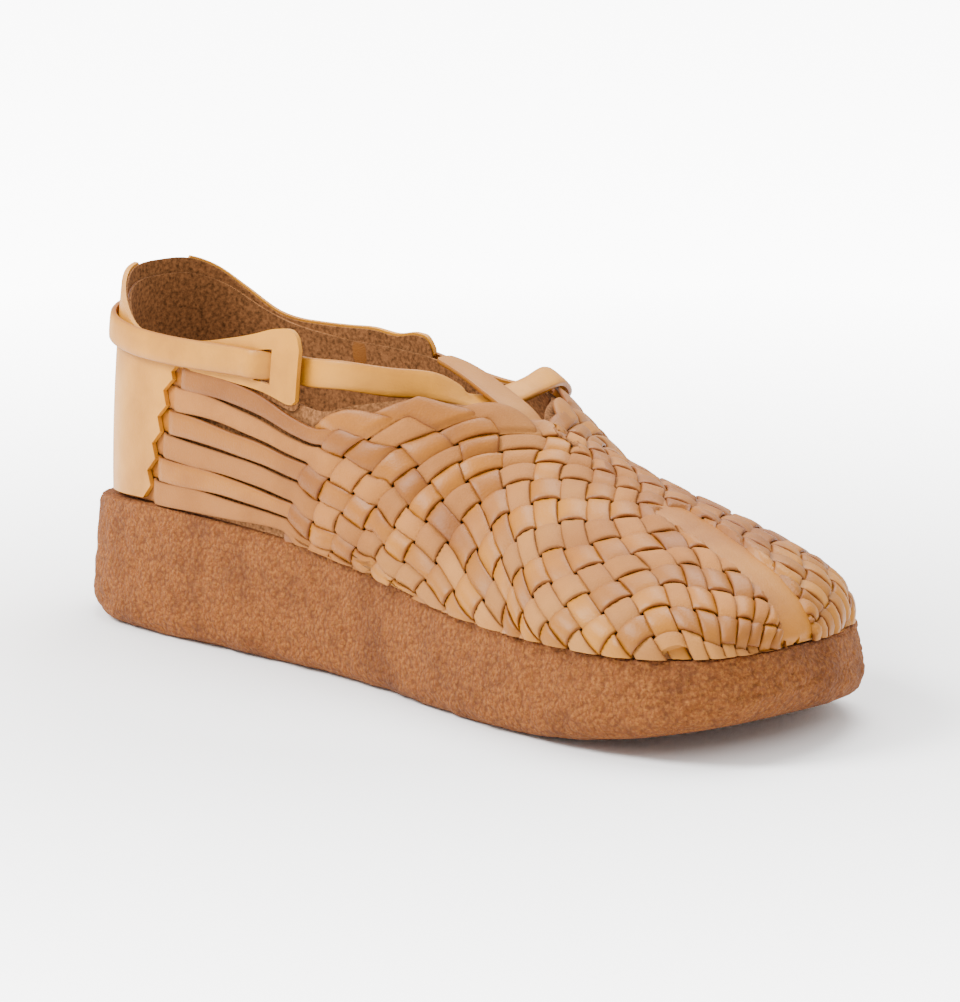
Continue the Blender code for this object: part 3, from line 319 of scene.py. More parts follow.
STRAP_OFFSET = {-1: Curve(STRAP_ON_WALL, 3), 1: Curve(STRAP_ON_WALL, 4)}


def share_of_length(x: float) -> float:
    """Turn a place into a share of the length.

    Args:
        x: place along the length in metres.

    Returns:
        The share of length, 0 at heel.
    """
    return x / SHOE_LENGTH + 0.5


def sole_top(x: float) -> float:
    """Height of the sole's top face at a place along the length.

    Args:
        x: place along the length in metres.

    Returns:
        The height in metres.
    """
    return HEEL_HEIGHT * TOP_SHARE(share_of_length(x))


def sole_bottom(x: float) -> float:
    """Height of the sole's under face: toe spring ahead, a slight roll behind.

    Args:
        x: place along the length in metres.

    Returns:
        The height in metres.
    """
    share = share_of_length(x)
    spring = min(max((share - SPRING_START) / SPRING_SPAN, 0.0), 1.0)
    roll = min(max((ROLL_SPAN - share) / ROLL_SPAN, 0.0), 1.0)
    return TOE_SPRING * spring ** 2 + HEEL_ROLL * roll ** 2


@lru_cache(maxsize=None)
def outline(k: float, side: int) -> Vector:
    """Plan outline of the sole; past heel or toe it runs on to the other side.

    Args:
        k: station along the side, 0 at the heel and 1 at the toe.
        side: -1 for the inner side, +1 for the outer side.

    Returns:
        The plan point.
    """
    if k < 0.0:
        k, side = -k, -side
    if k > 1.0:
        k, side = 2.0 - k, -side
    x = (SIDE_LENGTH[side](k) - 0.5) * SHOE_LENGTH
    return Vector((x, side * SIDE_WIDTH[side](k) * BALL_WIDTH, 0.0))


@lru_cache(maxsize=None)
def outline_normal(k: float, side: int) -> Vector:
    """Outward direction of the outline in plan.

    Args:
        k: station along the side, 0 at the heel and 1 at the toe.
        side: -1 for the inner side, +1 for the outer side.

    Returns:
        The unit vector.
    """
    run = outline(k + NUDGE, side) - outline(k - NUDGE, side)
    return (Vector((-run.y, run.x, 0.0)) * side).normalized()


@lru_cache(maxsize=None)
def foot_line(k: float, side: int) -> Vector:
    """Line where the last meets the sole.

    Args:
        k: station along the side, 0 at the heel and 1 at the toe.
        side: -1 for the inner side, +1 for the outer side.

    Returns:
        The point in metres.
    """
    plan = outline(k, side) - outline_normal(k, side) * SIDE_MARGIN(k) * BALL_WIDTH
    return Vector((plan.x, plan.y, sole_top(plan.x) + FIT_GAP))


@lru_cache(maxsize=None)
def top_line(k: float, side: int) -> Vector:
    """Line along the top of the last.

    Args:
        k: station along the side, 0 at the heel and 1 at the toe.
        side: -1 for the inner side, +1 for the outer side.

    Returns:
        The point in metres.
    """
    x = (LINE_LENGTH(k) - 0.5) * SHOE_LENGTH
    return Vector((x, LINE_ACROSS[side](k) * BALL_WIDTH, LINE_HEIGHT[side](k) * INSTEP_HEIGHT))


@lru_cache(maxsize=None)
def section(k: float, side: int) -> tuple[Vector, Vector, Vector, float]:
    """Foot, knee and top of the wall at a station, and its fullness.

    Args:
        k: station along the side, 0 at the heel and 1 at the toe.
        side: -1 for the inner side, +1 for the outer side.

    Returns:
        The foot, knee, top and fullness.
    """
    low = foot_line(k, side)
    high = top_line(k, side)
    knee = low + (high - low) * WALL_LEAN(k)
    knee.z = low.z + (high.z - low.z) * WALL_RISE(k)
    return low, knee, high, WALL_FULL(k)


def last_point(k: float, side: int, v: float) -> Vector:
    """Point of the last's surface; it runs on past heel, toe and ridge.

    Args:
        k: station along the side, 0 at the heel and 1 at the toe.
        side: -1 for the inner side, +1 for the outer side.
        v: rise up the wall, 0 at the foot line.

    Returns:
        The point in metres.
    """
    if k < 0.0:
        k, side = -k, -side
    if k > 1.0:
        k, side = 2.0 - k, -side
    if v > 1.0 and k >= RIDGE_START:
        v, side = 2.0 - v, -side
    low, knee, high, full = section(round(k, 6), side)
    a = (1.0 - v) ** 2
    b = 2.0 * full * v * (1.0 - v)
    c = v ** 2
    return (low * a + knee * b + high * c) / (a + b + c)


def last_normal(k: float, side: int, v: float) -> Vector:
    """Outward direction of the last's surface.

    Args:
        k: station along the side, 0 at the heel and 1 at the toe.
        side: -1 for the inner side, +1 for the outer side.
        v: rise up the wall, 0 at the foot line.

    Returns:
        The unit vector.
    """
    top = min(v + RISE_NUDGE, 1.0) if k < RIDGE_OPEN else v + RISE_NUDGE
    low = max(v - RISE_NUDGE, 0.0)
    along = last_point(k + NUDGE, side, v) - last_point(k - NUDGE, side, v)
    up = last_point(k, side, top) - last_point(k, side, low)
    return (along.cross(up) * -side).normalized()


def on_last(k: float, side: int, v: float, offset: float) -> Vector:
    """Point at an offset from the last's surface.

    Args:
        k: station along the side, 0 at the heel and 1 at the toe.
        side: -1 for the inner side, +1 for the outer side.
        v: rise up the wall, 0 at the foot line.
        offset: distance outward from the last in metres.

    Returns:
        The point in metres.
    """
    return last_point(k, side, v) + last_normal(k, side, v) * offset


def rise_at_height(k: float, side: int, height: float) -> float:
    """Rise v at which the wall of a station reaches a height.

    Args:
        k: station along the side, 0 at the heel and 1 at the toe.
        side: -1 for the inner side, +1 for the outer side.
        height: height above the floor in metres.

    Returns:
        The rise, 0 to 1.
    """
    low = 0.0
    high = 1.0
    for _ in range(RISE_HALVINGS):
        middle = 0.5 * (low + high)
        if last_point(k, side, middle).z < height:
            low = middle
        else:
            high = middle
    return 0.5 * (low + high)


@lru_cache(maxsize=None)
def edge_rise(k: float, side: int) -> float:
    """Rise of the woven wall's top: the collar edge, or 1 on the ridge.

    Args:
        k: station along the side, 0 at the heel and 1 at the toe.
        side: -1 for the inner side, +1 for the outer side.

    Returns:
        The rise, 0 to 1.
    """
    if k >= COLLAR_EDGE[-1][0]:
        return 1.0
    return rise_at_height(k, side, EDGE_HEIGHT[side](k) * COLLAR_HEIGHT)


class Girth:
    """Arc lengths down the wall from its top, for one side and station."""

    STEPS = 60

    def __init__(self, k: float, side: int) -> None:
        """Measure the lengths.

        Args:
            k: station along the side, 0 at the heel and 1 at the toe.
            side: -1 for the inner side, +1 for the outer side.
        """
        top = edge_rise(k, side)
        self.rises = [top * (1.0 - i / self.STEPS) for i in range(self.STEPS + 1)]
        points = [last_point(k, side, v) for v in self.rises]
        self.arc = [0.0]
        for first, second in zip(points, points[1:]):
            self.arc.append(self.arc[-1] + (second - first).length)
        self.length = self.arc[-1]

    def rise(self, down: float) -> float:
        """Find the rise at an arc length.

        Args:
            down: arc length down from the top in metres.

        Returns:
            The rise, 0 to 1.
        """
        i = min(max(bisect_right(self.arc, down) - 1, 0), self.STEPS - 1)
        t = (down - self.arc[i]) / (self.arc[i + 1] - self.arc[i])
        t = min(max(t, 0.0), 1.0)
        return self.rises[i] + (self.rises[i + 1] - self.rises[i]) * t


def free_row(row: Sequence[float], side: int) -> tuple[Vector, Vector]:
    """Centre and face direction of one row of the strap's free part.

    Args:
        row: one row of STRAP_FREE.
        side: -1 for the inner side, +1 for the outer side.

    Returns:
        The point and face direction.
    """
    length, across, height, up, ahead = row
    tilt = math.radians(up)
    turn = math.radians(ahead)
    point = Vector(((length - 0.5) * SHOE_LENGTH, across * BALL_WIDTH,
                    height * INSTEP_HEIGHT))
    level = Vector((math.sin(turn), side * math.cos(turn), 0.0))
    return point, level * math.cos(tilt) + Vector((0.0, 0.0, math.sin(tilt)))


def smooth_loop(values: Sequence[Vector], parts: int) -> list[Vector]:
    """Closed smooth curve through the values, with more points.

    Args:
        values: points of the closed line.
        parts: pieces made of each step.

    Returns:
        The finer line.
    """
    count = len(values)
    made = []
    for i in range(count):
        p0, p1, p2, p3 = (values[(i + j - 1) % count] for j in range(4))
        for s in range(parts):
            t = s / parts
            bend = (p0 * 2.0 - p1 * 5.0 + p2 * 4.0 - p3) * t * t
            twist = (p1 * 3.0 - p0 - p2 * 3.0 + p3) * t ** 3
            made.append((p1 * 2.0 + (p2 - p0) * t + bend + twist) * 0.5)
    return made


# Where the weave's columns lie: station and drop from the top edge in
# metres, each at rows 0, 3, 6, 9 and 12 of the column
WEAVE = [
    # column, k at 0, 3, 6, 9, 12,            drop at 0, 3, 6, 9, 12
    (-6.0, 0.281, 0.297, 0.325, 0.355, 0.377, 0.0032, 0.0186, 0.0331, 0.0457, 0.0601),
    (-4.0, 0.315, 0.327, 0.355, 0.387, 0.409, 0.0020, 0.0172, 0.0325, 0.0448, 0.0604),
    (-2.0, 0.352, 0.360, 0.385, 0.416, 0.439, 0.0008, 0.0150, 0.0301, 0.0458, 0.0619),
    (0.0, 0.395, 0.400, 0.420, 0.444, 0.470, 0.0008, 0.0146, 0.0314, 0.0494, 0.0648),
    (2.0, 0.441, 0.442, 0.451, 0.476, 0.504, 0.0015, 0.0173, 0.0348, 0.0545, 0.0684),
    (4.0, 0.484, 0.478, 0.477, 0.508, 0.540, 0.0015, 0.0186, 0.0373, 0.0566, 0.0700),
    (6.0, 0.517, 0.504, 0.502, 0.541, 0.577, 0.0000, 0.0177, 0.0368, 0.0548, 0.0690),
    (8.0, 0.543, 0.529, 0.529, 0.574, 0.610, 0.0000, 0.0153, 0.0341, 0.0520, 0.0669),
    (10.0, 0.571, 0.559, 0.561, 0.598, 0.636, 0.0000, 0.0139, 0.0324, 0.0508, 0.0655),
    (12.0, 0.602, 0.595, 0.599, 0.627, 0.663, 0.0000, 0.0150, 0.0332, 0.0512, 0.0649),
    (14.0, 0.632, 0.633, 0.647, 0.667, 0.695, 0.0000, 0.0168, 0.0340, 0.0495, 0.0641),
    (16.0, 0.668, 0.673, 0.692, 0.711, 0.732, 0.0000, 0.0141, 0.0300, 0.0460, 0.0615),
    (18.0, 0.712, 0.724, 0.747, 0.757, 0.773, 0.0000, 0.0103, 0.0236, 0.0400, 0.0571),
    (20.0, 0.767, 0.792, 0.810, 0.812, 0.820, 0.0000, 0.0100, 0.0246, 0.0368, 0.0532),
    (22.0, 0.833, 0.860, 0.875, 0.878, 0.878, 0.0000, 0.0099, 0.0247, 0.0379, 0.0517),
    (24.0, 0.903, 0.920, 0.932, 0.936, 0.934, 0.0000, 0.0117, 0.0250, 0.0380, 0.0509),
    (27.0, 0.985, 0.990, 0.990, 0.990, 0.990, 0.0000, 0.0126, 0.0252, 0.0377, 0.0505),
]
ROW_STEP = 3.0
# Last station that a strip reaches at the toe
TOE_STATION = 0.990
WEAVE_STATIONS = [Curve(WEAVE, column) for column in range(1, 6)]
WEAVE_DROPS = [Curve(WEAVE, column) for column in range(6, 11)]

# Cross-section of a cut leather strip: across and through, both -1 to 1.
# The upper face is slightly domed and the cut edges are a little round.
STRIP_PROFILE = [
    (-0.86, 0.80), (-0.50, 0.96), (0.0, 1.0), (0.50, 0.96), (0.86, 0.80),
    (0.97, 0.45), (1.0, -0.20), (0.95, -0.80),
    (0.50, -1.0), (-0.50, -1.0),
    (-0.95, -0.80), (-1.0, -0.20), (-0.97, 0.45),
]
# How far each point of that section shows the dark cut edge: partly the leather's own cut edge
# colour, partly painted shade of the gaps between the strips
CUT_EDGE_AND_GAP_SHADE = (0.25, 0.0, 0.0, 0.0, 0.25, 0.9, 1.0, 1.0, 0.8, 0.8, 1.0, 1.0, 0.9)


class Hide(Enum):
    """Which face of the hide a strip shows."""

    GRAIN = "grain"
    FLESH = "flesh"


def linear(code: str) -> tuple[float, float, float, float]:
    """Turn an sRGB hex code into linear colour.

    Args:
        code: colour such as "#C07A48".

    Returns:
        The red, green, blue and alpha values.
    """
    values = []
    for start in (1, 3, 5):
        share = int(code[start:start + 2], 16) / 255.0
        low = share / 12.92
        high = ((share + 0.055) / 1.055) ** 2.4
        values.append(low if share <= 0.04045 else high)
    return values[0], values[1], values[2], 1.0


def add_node(tree: bpy.types.NodeTree, kind: str, settings: dict | None = None,
             inputs: dict | None = None) -> bpy.types.Node:
    """Add one shader node with its settings, values and links.

    Args:
        tree: the node tree.
        kind: the node's type name.
        settings: attribute values by name.
        inputs: socket values or sockets to link, by socket name or number.

    Returns:
        The node.
    """
    node = tree.nodes.new(kind)
    for name, value in (settings or {}).items():
        setattr(node, name, value)
    for name, value in (inputs or {}).items():
        if isinstance(value, bpy.types.NodeSocket):
            tree.links.new(value, node.inputs[name])
        else:
            node.inputs[name].default_value = value
    return node


def blend(tree: bpy.types.NodeTree, share: bpy.types.NodeSocket, first: object,
          second: object) -> bpy.types.NodeSocket:
    """Mix two colours.

    Args:
        tree: the node tree.
        share: how much of the second colour.
        first: a colour or a socket.
        second: a colour or a socket.

    Returns:
        The mixed colour's socket.
    """
    node = add_node(tree, "ShaderNodeMix", {"data_type": "RGBA"},
                    {0: share, 6: first, 7: second})
    return node.outputs[2]


def ramp(tree: bpy.types.NodeTree, value: bpy.types.NodeSocket, low: float, high: float,
         to_low: float = 0.0, to_high: float = 1.0) -> bpy.types.NodeSocket:
    """Stretch a value from one range to another.

    Args:
        tree: the node tree.
        value: the socket to stretch.
        low: lower end of the incoming range.
        high: upper end of the incoming range.
        to_low: lower end of the result.
        to_high: upper end of the result.

    Returns:
        The stretched value's socket.
    """
    node = add_node(tree, "ShaderNodeMapRange", {"clamp": True},
                    {"Value": value, "From Min": low, "From Max": high,
                     "To Min": to_low, "To Max": to_high})
    return node.outputs[0]


@dataclass(frozen=True)
class Leather:
    """Vegetable-tanned cowhide, cut in strips or panels.

    The grain face is smooth with fine pores and a soft shine; the flesh
    face is matt, paler and fibrous.

    Attributes:
        name: material name.
        base: main colour.
        deep: darker colour of creases and handling marks, of each piece's tone, and of the cut
            edges, where it is partly painted shade of the gaps between strips.
        pale: lighter colour of worn spots.
        roughness: mean roughness.
        pore_mm: size of the grain's pebbles.
        relief_mm: height of the grain.
        coat: strength of the finish's shine.
    """

    name: str
    base: str
    deep: str
    pale: str
    roughness: float
    pore_mm: float
    relief_mm: float
    coat: float

    def build(self) -> bpy.types.Material:
        """Make the material.

        Returns:
            The Blender material.
        """
        made = bpy.data.materials.new(self.name)
        made.use_nodes = True
        tree = made.node_tree
        shader = tree.nodes["Principled BSDF"]
        where = add_node(tree, "ShaderNodeTexCoord").outputs["Object"]
        cloud = add_node(tree, "ShaderNodeTexNoise", {}, {
            "Vector": where, "Scale": 45.0, "Detail": 5.0, "Roughness": 0.6})
        blotch = add_node(tree, "ShaderNodeTexNoise", {}, {
            "Vector": where, "Scale": 14.0, "Detail": 3.0})
        # pores are drawn at their real size, under a millimetre
        pores = add_node(tree, "ShaderNodeTexVoronoi", {"feature": "F1"}, {
            "Vector": where, "Scale": 1000.0 / self.pore_mm, "Randomness": 1.0})
        fine = add_node(tree, "ShaderNodeTexNoise", {}, {
            "Vector": where, "Scale": 900.0 / self.pore_mm, "Detail": 3.0, "Roughness": 0.7})
        colour = blend(tree, ramp(tree, cloud.outputs[0], 0.42, 0.74, 0.0, 0.55),
                       linear(self.base), linear(self.deep))
        colour = blend(tree, ramp(tree, blotch.outputs[0], 0.50, 0.72, 0.0, 0.6),
                       colour, linear(self.pale))
        # darker cut edges: partly the leather's own cut edge colour, partly painted shade of the
        # gaps between strips
        edge = add_node(tree, "ShaderNodeAttribute", {"attribute_name": "cut_edge_and_gap_shade"})
        colour = blend(tree, ramp(tree, edge.outputs["Fac"], 0.0, 1.0, 0.0, 0.75),
                       colour, linear(self.deep))
        tone = add_node(tree, "ShaderNodeAttribute", {"attribute_name": "tone"})
        colour = blend(tree, ramp(tree, tone.outputs["Fac"], 0.0, 1.0, 0.0, 0.45),
                       colour, linear(self.deep))
        tree.links.new(colour, shader.inputs["Base Color"])
        rough = ramp(tree, cloud.outputs[0], 0.3, 0.7, self.roughness - 0.08,
                     self.roughness + 0.08)
        tree.links.new(rough, shader.inputs["Roughness"])
        shader.inputs["IOR"].default_value = 1.5
        shader.inputs["Specular IOR Level"].default_value = 0.28
        shader.inputs["Coat Weight"].default_value = self.coat
        shader.inputs["Coat Roughness"].default_value = 0.35
        relief = add_node(tree, "ShaderNodeMath", {"operation": "ADD"}, {
            0: ramp(tree, pores.outputs["Distance"], 0.0, 0.7),
            1: fine.outputs[0]})
        bump = add_node(tree, "ShaderNodeBump", {}, {
            "Height": relief.outputs[0], "Strength": 0.45,
            "Distance": self.relief_mm / 1000.0})
        tree.links.new(bump.outputs[0], shader.inputs["Normal"])
        return made


@dataclass(frozen=True)
class Crepe:
    """Natural crepe rubber, pressed in sheets and cut to the sole's shape.

    It looks like amber honeycomb: matt, crumbly, with darker specks.

    Attributes:
        name: material name.
        base: main colour.
        deep: colour of pits and specks.
        pale: colour of raised crumbs.
        crumb_mm: size of the crumbs.
    """

    name: str = "crepe_rubber"
    base: str = "#7A4214"
    deep: str = "#441E05"
    pale: str = "#A5692C"
    crumb_mm: float = 1.6

    def build(self) -> bpy.types.Material:
        """Make the material.

        Returns:
            The Blender material.
        """
        made = bpy.data.materials.new(self.name)
        made.use_nodes = True
        tree = made.node_tree
        shader = tree.nodes["Principled BSDF"]
        where = add_node(tree, "ShaderNodeTexCoord").outputs["Object"]
        crumbs = add_node(tree, "ShaderNodeTexVoronoi", {"feature": "F1"}, {
            "Vector": where, "Scale": 1000.0 / self.crumb_mm, "Randomness": 1.0})
        fine = add_node(tree, "ShaderNodeTexNoise", {}, {
            "Vector": where, "Scale": 1100.0, "Detail": 4.0, "Roughness": 0.65})
        cloud = add_node(tree, "ShaderNodeTexNoise", {}, {
            "Vector": where, "Scale": 60.0, "Detail": 4.0, "Roughness": 0.6})
        colour = blend(tree, ramp(tree, fine.outputs[0], 0.46, 0.62, 0.0, 0.55),
                       linear(self.base), linear(self.pale))
        colour = blend(tree, ramp(tree, cloud.outputs[0], 0.48, 0.70, 0.0, 0.5),
                       colour, linear(self.deep))
        # darker between the crumbs, where the bump sinks
        colour = blend(tree, ramp(tree, crumbs.outputs["Distance"], 0.50, 0.85, 0.0, 0.45),
                       colour, linear(self.deep))
        tree.links.new(colour, shader.inputs["Base Color"])
        shader.inputs["Roughness"].default_value = 0.88
        shader.inputs["IOR"].default_value = 1.52
        shader.inputs["Specular IOR Level"].default_value = 0.3
        height = add_node(tree, "ShaderNodeMath", {"operation": "ADD"}, {
            0: ramp(tree, crumbs.outputs["Distance"], 0.0, 0.8, 1.0, 0.0),
            1: fine.outputs[0]})
        bump = add_node(tree, "ShaderNodeBump", {}, {
            "Height": height.outputs[0], "Strength": 0.9, "Distance": 0.0011})
        tree.links.new(bump.outputs[0], shader.inputs["Normal"])
        return made


@dataclass(frozen=True)
class Plain:
    """A matt plain finish, such as suede or a paper floor.

    Attributes:
        name: material name.
        base: main colour.
        deep: second colour.
        scale: pattern frequency per metre.
        roughness: roughness.
        relief: bump distance in metres.
    """

    name: str
    base: str
    deep: str
    scale: float
    roughness: float
    relief: float

    def build(self) -> bpy.types.Material:
        """Make the material.

        Returns:
            The Blender material.
        """
        made = bpy.data.materials.new(self.name)
        made.use_nodes = True
        tree = made.node_tree
        shader = tree.nodes["Principled BSDF"]
        where = add_node(tree, "ShaderNodeTexCoord").outputs["Object"]
        nap = add_node(tree, "ShaderNodeTexNoise", {}, {
            "Vector": where, "Scale": self.scale, "Detail": 5.0, "Roughness": 0.6})
        colour = blend(tree, ramp(tree, nap.outputs[0], 0.35, 0.70),
                       linear(self.base), linear(self.deep))
        tree.links.new(colour, shader.inputs["Base Color"])
        shader.inputs["Roughness"].default_value = self.roughness
        shader.inputs["Specular IOR Level"].default_value = 0.15
        if self.relief > 0.0:
            bump = add_node(tree, "ShaderNodeBump", {}, {
                "Height": nap.outputs[0], "Strength": 0.5, "Distance": self.relief})
            tree.links.new(bump.outputs[0], shader.inputs["Normal"])
        return made


@dataclass(frozen=True)
class Paper:
    """White seamless paper that glows for the camera away from the shoe: painted light that grows
    with the distance from the shoe.

    Attributes:
        name: material name.
        base: its colour.
        near: distance in metres at which the glow begins.
        far: distance in metres at which it is full.
        glow: strength of the glow for the camera.
    """

    name: str = "seamless_paper_floor"
    base: str = "#FFFFFF"
    near: float = 0.12
    far: float = 0.75
    glow: float = 8.0

    def build(self) -> bpy.types.Material:
        """Make the material.

        Returns:
            The Blender material.
        """
        made = bpy.data.materials.new(self.name)
        made.use_nodes = True
        tree = made.node_tree
        shader = tree.nodes["Principled BSDF"]
        shader.inputs["Base Color"].default_value = linear(self.base)
        shader.inputs["Roughness"].default_value = 0.9
        shader.inputs["Specular IOR Level"].default_value = 0.1
        where = add_node(tree, "ShaderNodeTexCoord").outputs["Object"]
        # painted light: the floor glows for camera rays only, not at all near the shoe and fully
        # far from it
        reach = add_node(tree, "ShaderNodeVectorMath", {"operation": "LENGTH"}, {0: where})
        sight = add_node(tree, "ShaderNodeLightPath").outputs["Is Camera Ray"]
        painted_glow = add_node(tree, "ShaderNodeMath", {"operation": "MULTIPLY"}, {
            0: ramp(tree, reach.outputs["Value"], self.near, self.far, 0.0, self.glow),
            1: sight})
        shader.inputs["Emission Color"].default_value = linear(self.base)
        tree.links.new(painted_glow.outputs[0], shader.inputs["Emission Strength"])
        return made


GRAIN = Leather("tanned_grain_leather", "#9E600F", "#643106", "#B4781F",
                roughness=0.50, pore_mm=0.7, relief_mm=0.10, coat=0.05)
FLESH = Leather("tanned_flesh_leather", "#A86A28", "#754417", "#C28B44",
                roughness=0.68, pore_mm=0.5, relief_mm=0.14, coat=0.0)
PANEL = Leather("smooth_grain_panel", "#C4821A", "#844B0B", "#D09430",
                roughness=0.48, pore_mm=0.8, relief_mm=0.06, coat=0.06)
SUEDE = Plain("brushed_suede", "#916039", "#4A2E15",
              scale=900.0, roughness=0.95, relief=0.0002)

# Gives a point for the vertex number across and the share along
Place = Callable[[int, float], Vector]

# Angle in degrees from which an edge is drawn sharp
SHARP_ANGLE = 50.0


def grid_of(across: int, along: int, place: Place,
            tint: Callable[[int], float] | None = None, tone: float = 0.0) -> bmesh.types.BMesh:
    """Lay a grid on a surface.

    Args:
        across: number of vertices across.
        along: number of vertices along.
        place: gives a point for the vertex number across and the share along.
        tint: gives how far the vertex number across shows the dark cut edge, which is partly
            painted shade of the gaps between strips.
        tone: how far the whole piece is darkened, 0 to 1.

    Returns:
        The mesh being built.
    """
    bm = bmesh.new()
    bmesh.ops.create_grid(bm, x_segments=across - 1, y_segments=along - 1, size=0.5)
    # per vertex: how dark the cut edge shows, partly painted shade of the gaps between strips
    edge_and_gap_shade_layer = bm.verts.layers.float.new("cut_edge_and_gap_shade")
    tone_layer = bm.verts.layers.float.new("tone")
    for vert in bm.verts:
        column = round((vert.co.x + 0.5) * (across - 1))
        share = round((vert.co.y + 0.5) * (along - 1)) / (along - 1)
        vert.co = place(column, share)
        vert[edge_and_gap_shade_layer] = tint(column) if tint else 0.0
        vert[tone_layer] = tone
    return bm


def tube_of(along: int, place: Place, closed: bool = False,
            tone: float = 0.0) -> bmesh.types.BMesh:
    """Lay a cut strip along a line, with flat ends unless it is a loop.

    Args:
        along: sections along the line.
        place: gives a point for the number in STRIP_PROFILE and the share along.
        closed: the line is a loop.
        tone: how far the whole strip is darkened, 0 to 1.

    Returns:
        The mesh being built.
    """
    ring = len(STRIP_PROFILE)
    bm = grid_of(ring + 1, along, lambda column, share: place(column % ring, share),
                 lambda column: CUT_EDGE_AND_GAP_SHADE[column % ring], tone)
    bmesh.ops.remove_doubles(bm, verts=bm.verts[:], dist=WELD)
    if not closed:
        rim = [edge for edge in bm.edges if edge.is_boundary]
        bmesh.ops.holes_fill(bm, edges=rim)
    bmesh.ops.recalc_face_normals(bm, faces=bm.faces[:])
    return bm


def skin_of(across: int, along: int, place: Place, thickness: float, outward: Vector,
            drop: Callable[[float, float], bool] | None = None) -> bmesh.types.BMesh:
    """Lay a sheet with real thickness; place gives its outer face.

    Args:
        across: vertices across.
        along: vertices along.
        place: gives a point for the vertex number across and the share along.
        thickness: thickness in metres.
        outward: rough outward direction at the middle of the grid.
        drop: tells whether the cell at a share across and along is left out.

    Returns:
        The mesh being built.
    """
    bm = bmesh.new()
    bmesh.ops.create_grid(bm, x_segments=across - 1, y_segments=along - 1, size=0.5)
    if drop is not None:
        gone = []
        for face in bm.faces:
            middle = face.calc_center_median()
            if drop(middle.x + 0.5, middle.y + 0.5):
                gone.append(face)
        bmesh.ops.delete(bm, geom=gone, context="FACES")
    for vert in bm.verts:
        column = round((vert.co.x + 0.5) * (across - 1))
        share = round((vert.co.y + 0.5) * (along - 1)) / (along - 1)
        vert.co = place(column, share)
    bm.normal_update()
    bm.faces.ensure_lookup_table()
    if bm.faces[len(bm.faces) // 2].normal.dot(outward) < 0.0:
        bmesh.ops.reverse_faces(bm, faces=bm.faces[:])
        bm.normal_update()
    bmesh.ops.solidify(bm, geom=bm.faces[:], thickness=thickness)
    bmesh.ops.recalc_face_normals(bm, faces=bm.faces[:])
    return bm


def finish_piece(name: str, meshes: Sequence[bmesh.types.BMesh], finish: bpy.types.Material,
                 node: str) -> None:
    """Join meshes into one smooth-shaded piece of the shoe.

    Args:
        name: the piece's name.
        meshes: its parts, which are freed.
        finish: its material.
        node: the CAD node it stands for.
    """
    mesh = bpy.data.meshes.new(name)
    whole = bmesh.new()
    for bm in meshes:
        part = bpy.data.meshes.new("part")
        bm.to_mesh(part)
        bm.free()
        whole.from_mesh(part)
        bpy.data.meshes.remove(part)
    whole.to_mesh(mesh)
    whole.free()
    for polygon in mesh.polygons:
        polygon.use_smooth = True
    mesh.set_sharp_from_angle(angle=math.radians(SHARP_ANGLE))
    mesh.materials.append(finish)
    piece = bpy.data.objects.new(name, mesh)
    bpy.context.scene.collection.objects.link(piece)
    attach(piece, "root")
    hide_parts(node)
    LOG.info("%s: %d faces", name, len(mesh.polygons))


def smooth(value: float) -> float:
    """Ease a share from 0 to 1.

    Args:
        value: the share, clipped to 0 to 1.

    Returns:
        The eased share.
    """
    t = min(max(value, 0.0), 1.0)
    return t * t * (3.0 - 2.0 * t)


def tone_of(number: int, side: int) -> float:
    """Give a strip its own shade, as leather from one hide varies.

    Args:
        number: the strip's number.
        side: the side it is on.

    Returns:
        How far it is darkened, 0 to 1.
    """
    return 0.5 + 0.5 * math.sin(2.4 * number + 1.1 * side)


def through_rows(curves: Sequence[Curve], column: float, row: float) -> float:
    """Read a smooth line through five values, three rows apart.

    Args:
        curves: the five columns' curves.
        column: the weave's column.
        row: the weave's row.

    Returns:
        The value there.
    """
    values = [curve(column) for curve in curves]
    last = len(values) - 1
    t = min(row / ROW_STEP, float(last))
    total = (row / ROW_STEP - t) * (values[last] - values[last - 1])
    for i, value in enumerate(values):
        share = 1.0
        for j in range(last + 1):
            if j != i:
                share *= (t - j) / (i - j)
        total += share * value
    return total


@lru_cache(maxsize=None)
def girth(k: float, side: int) -> Girth:
    """Keep one measured girth per station, which callers round.

    Args:
        k: station, rounded to a thousandth.
        side: -1 for the inner side, +1 for the outer side.

    Returns:
        The girth.
    """
    return Girth(k, side)


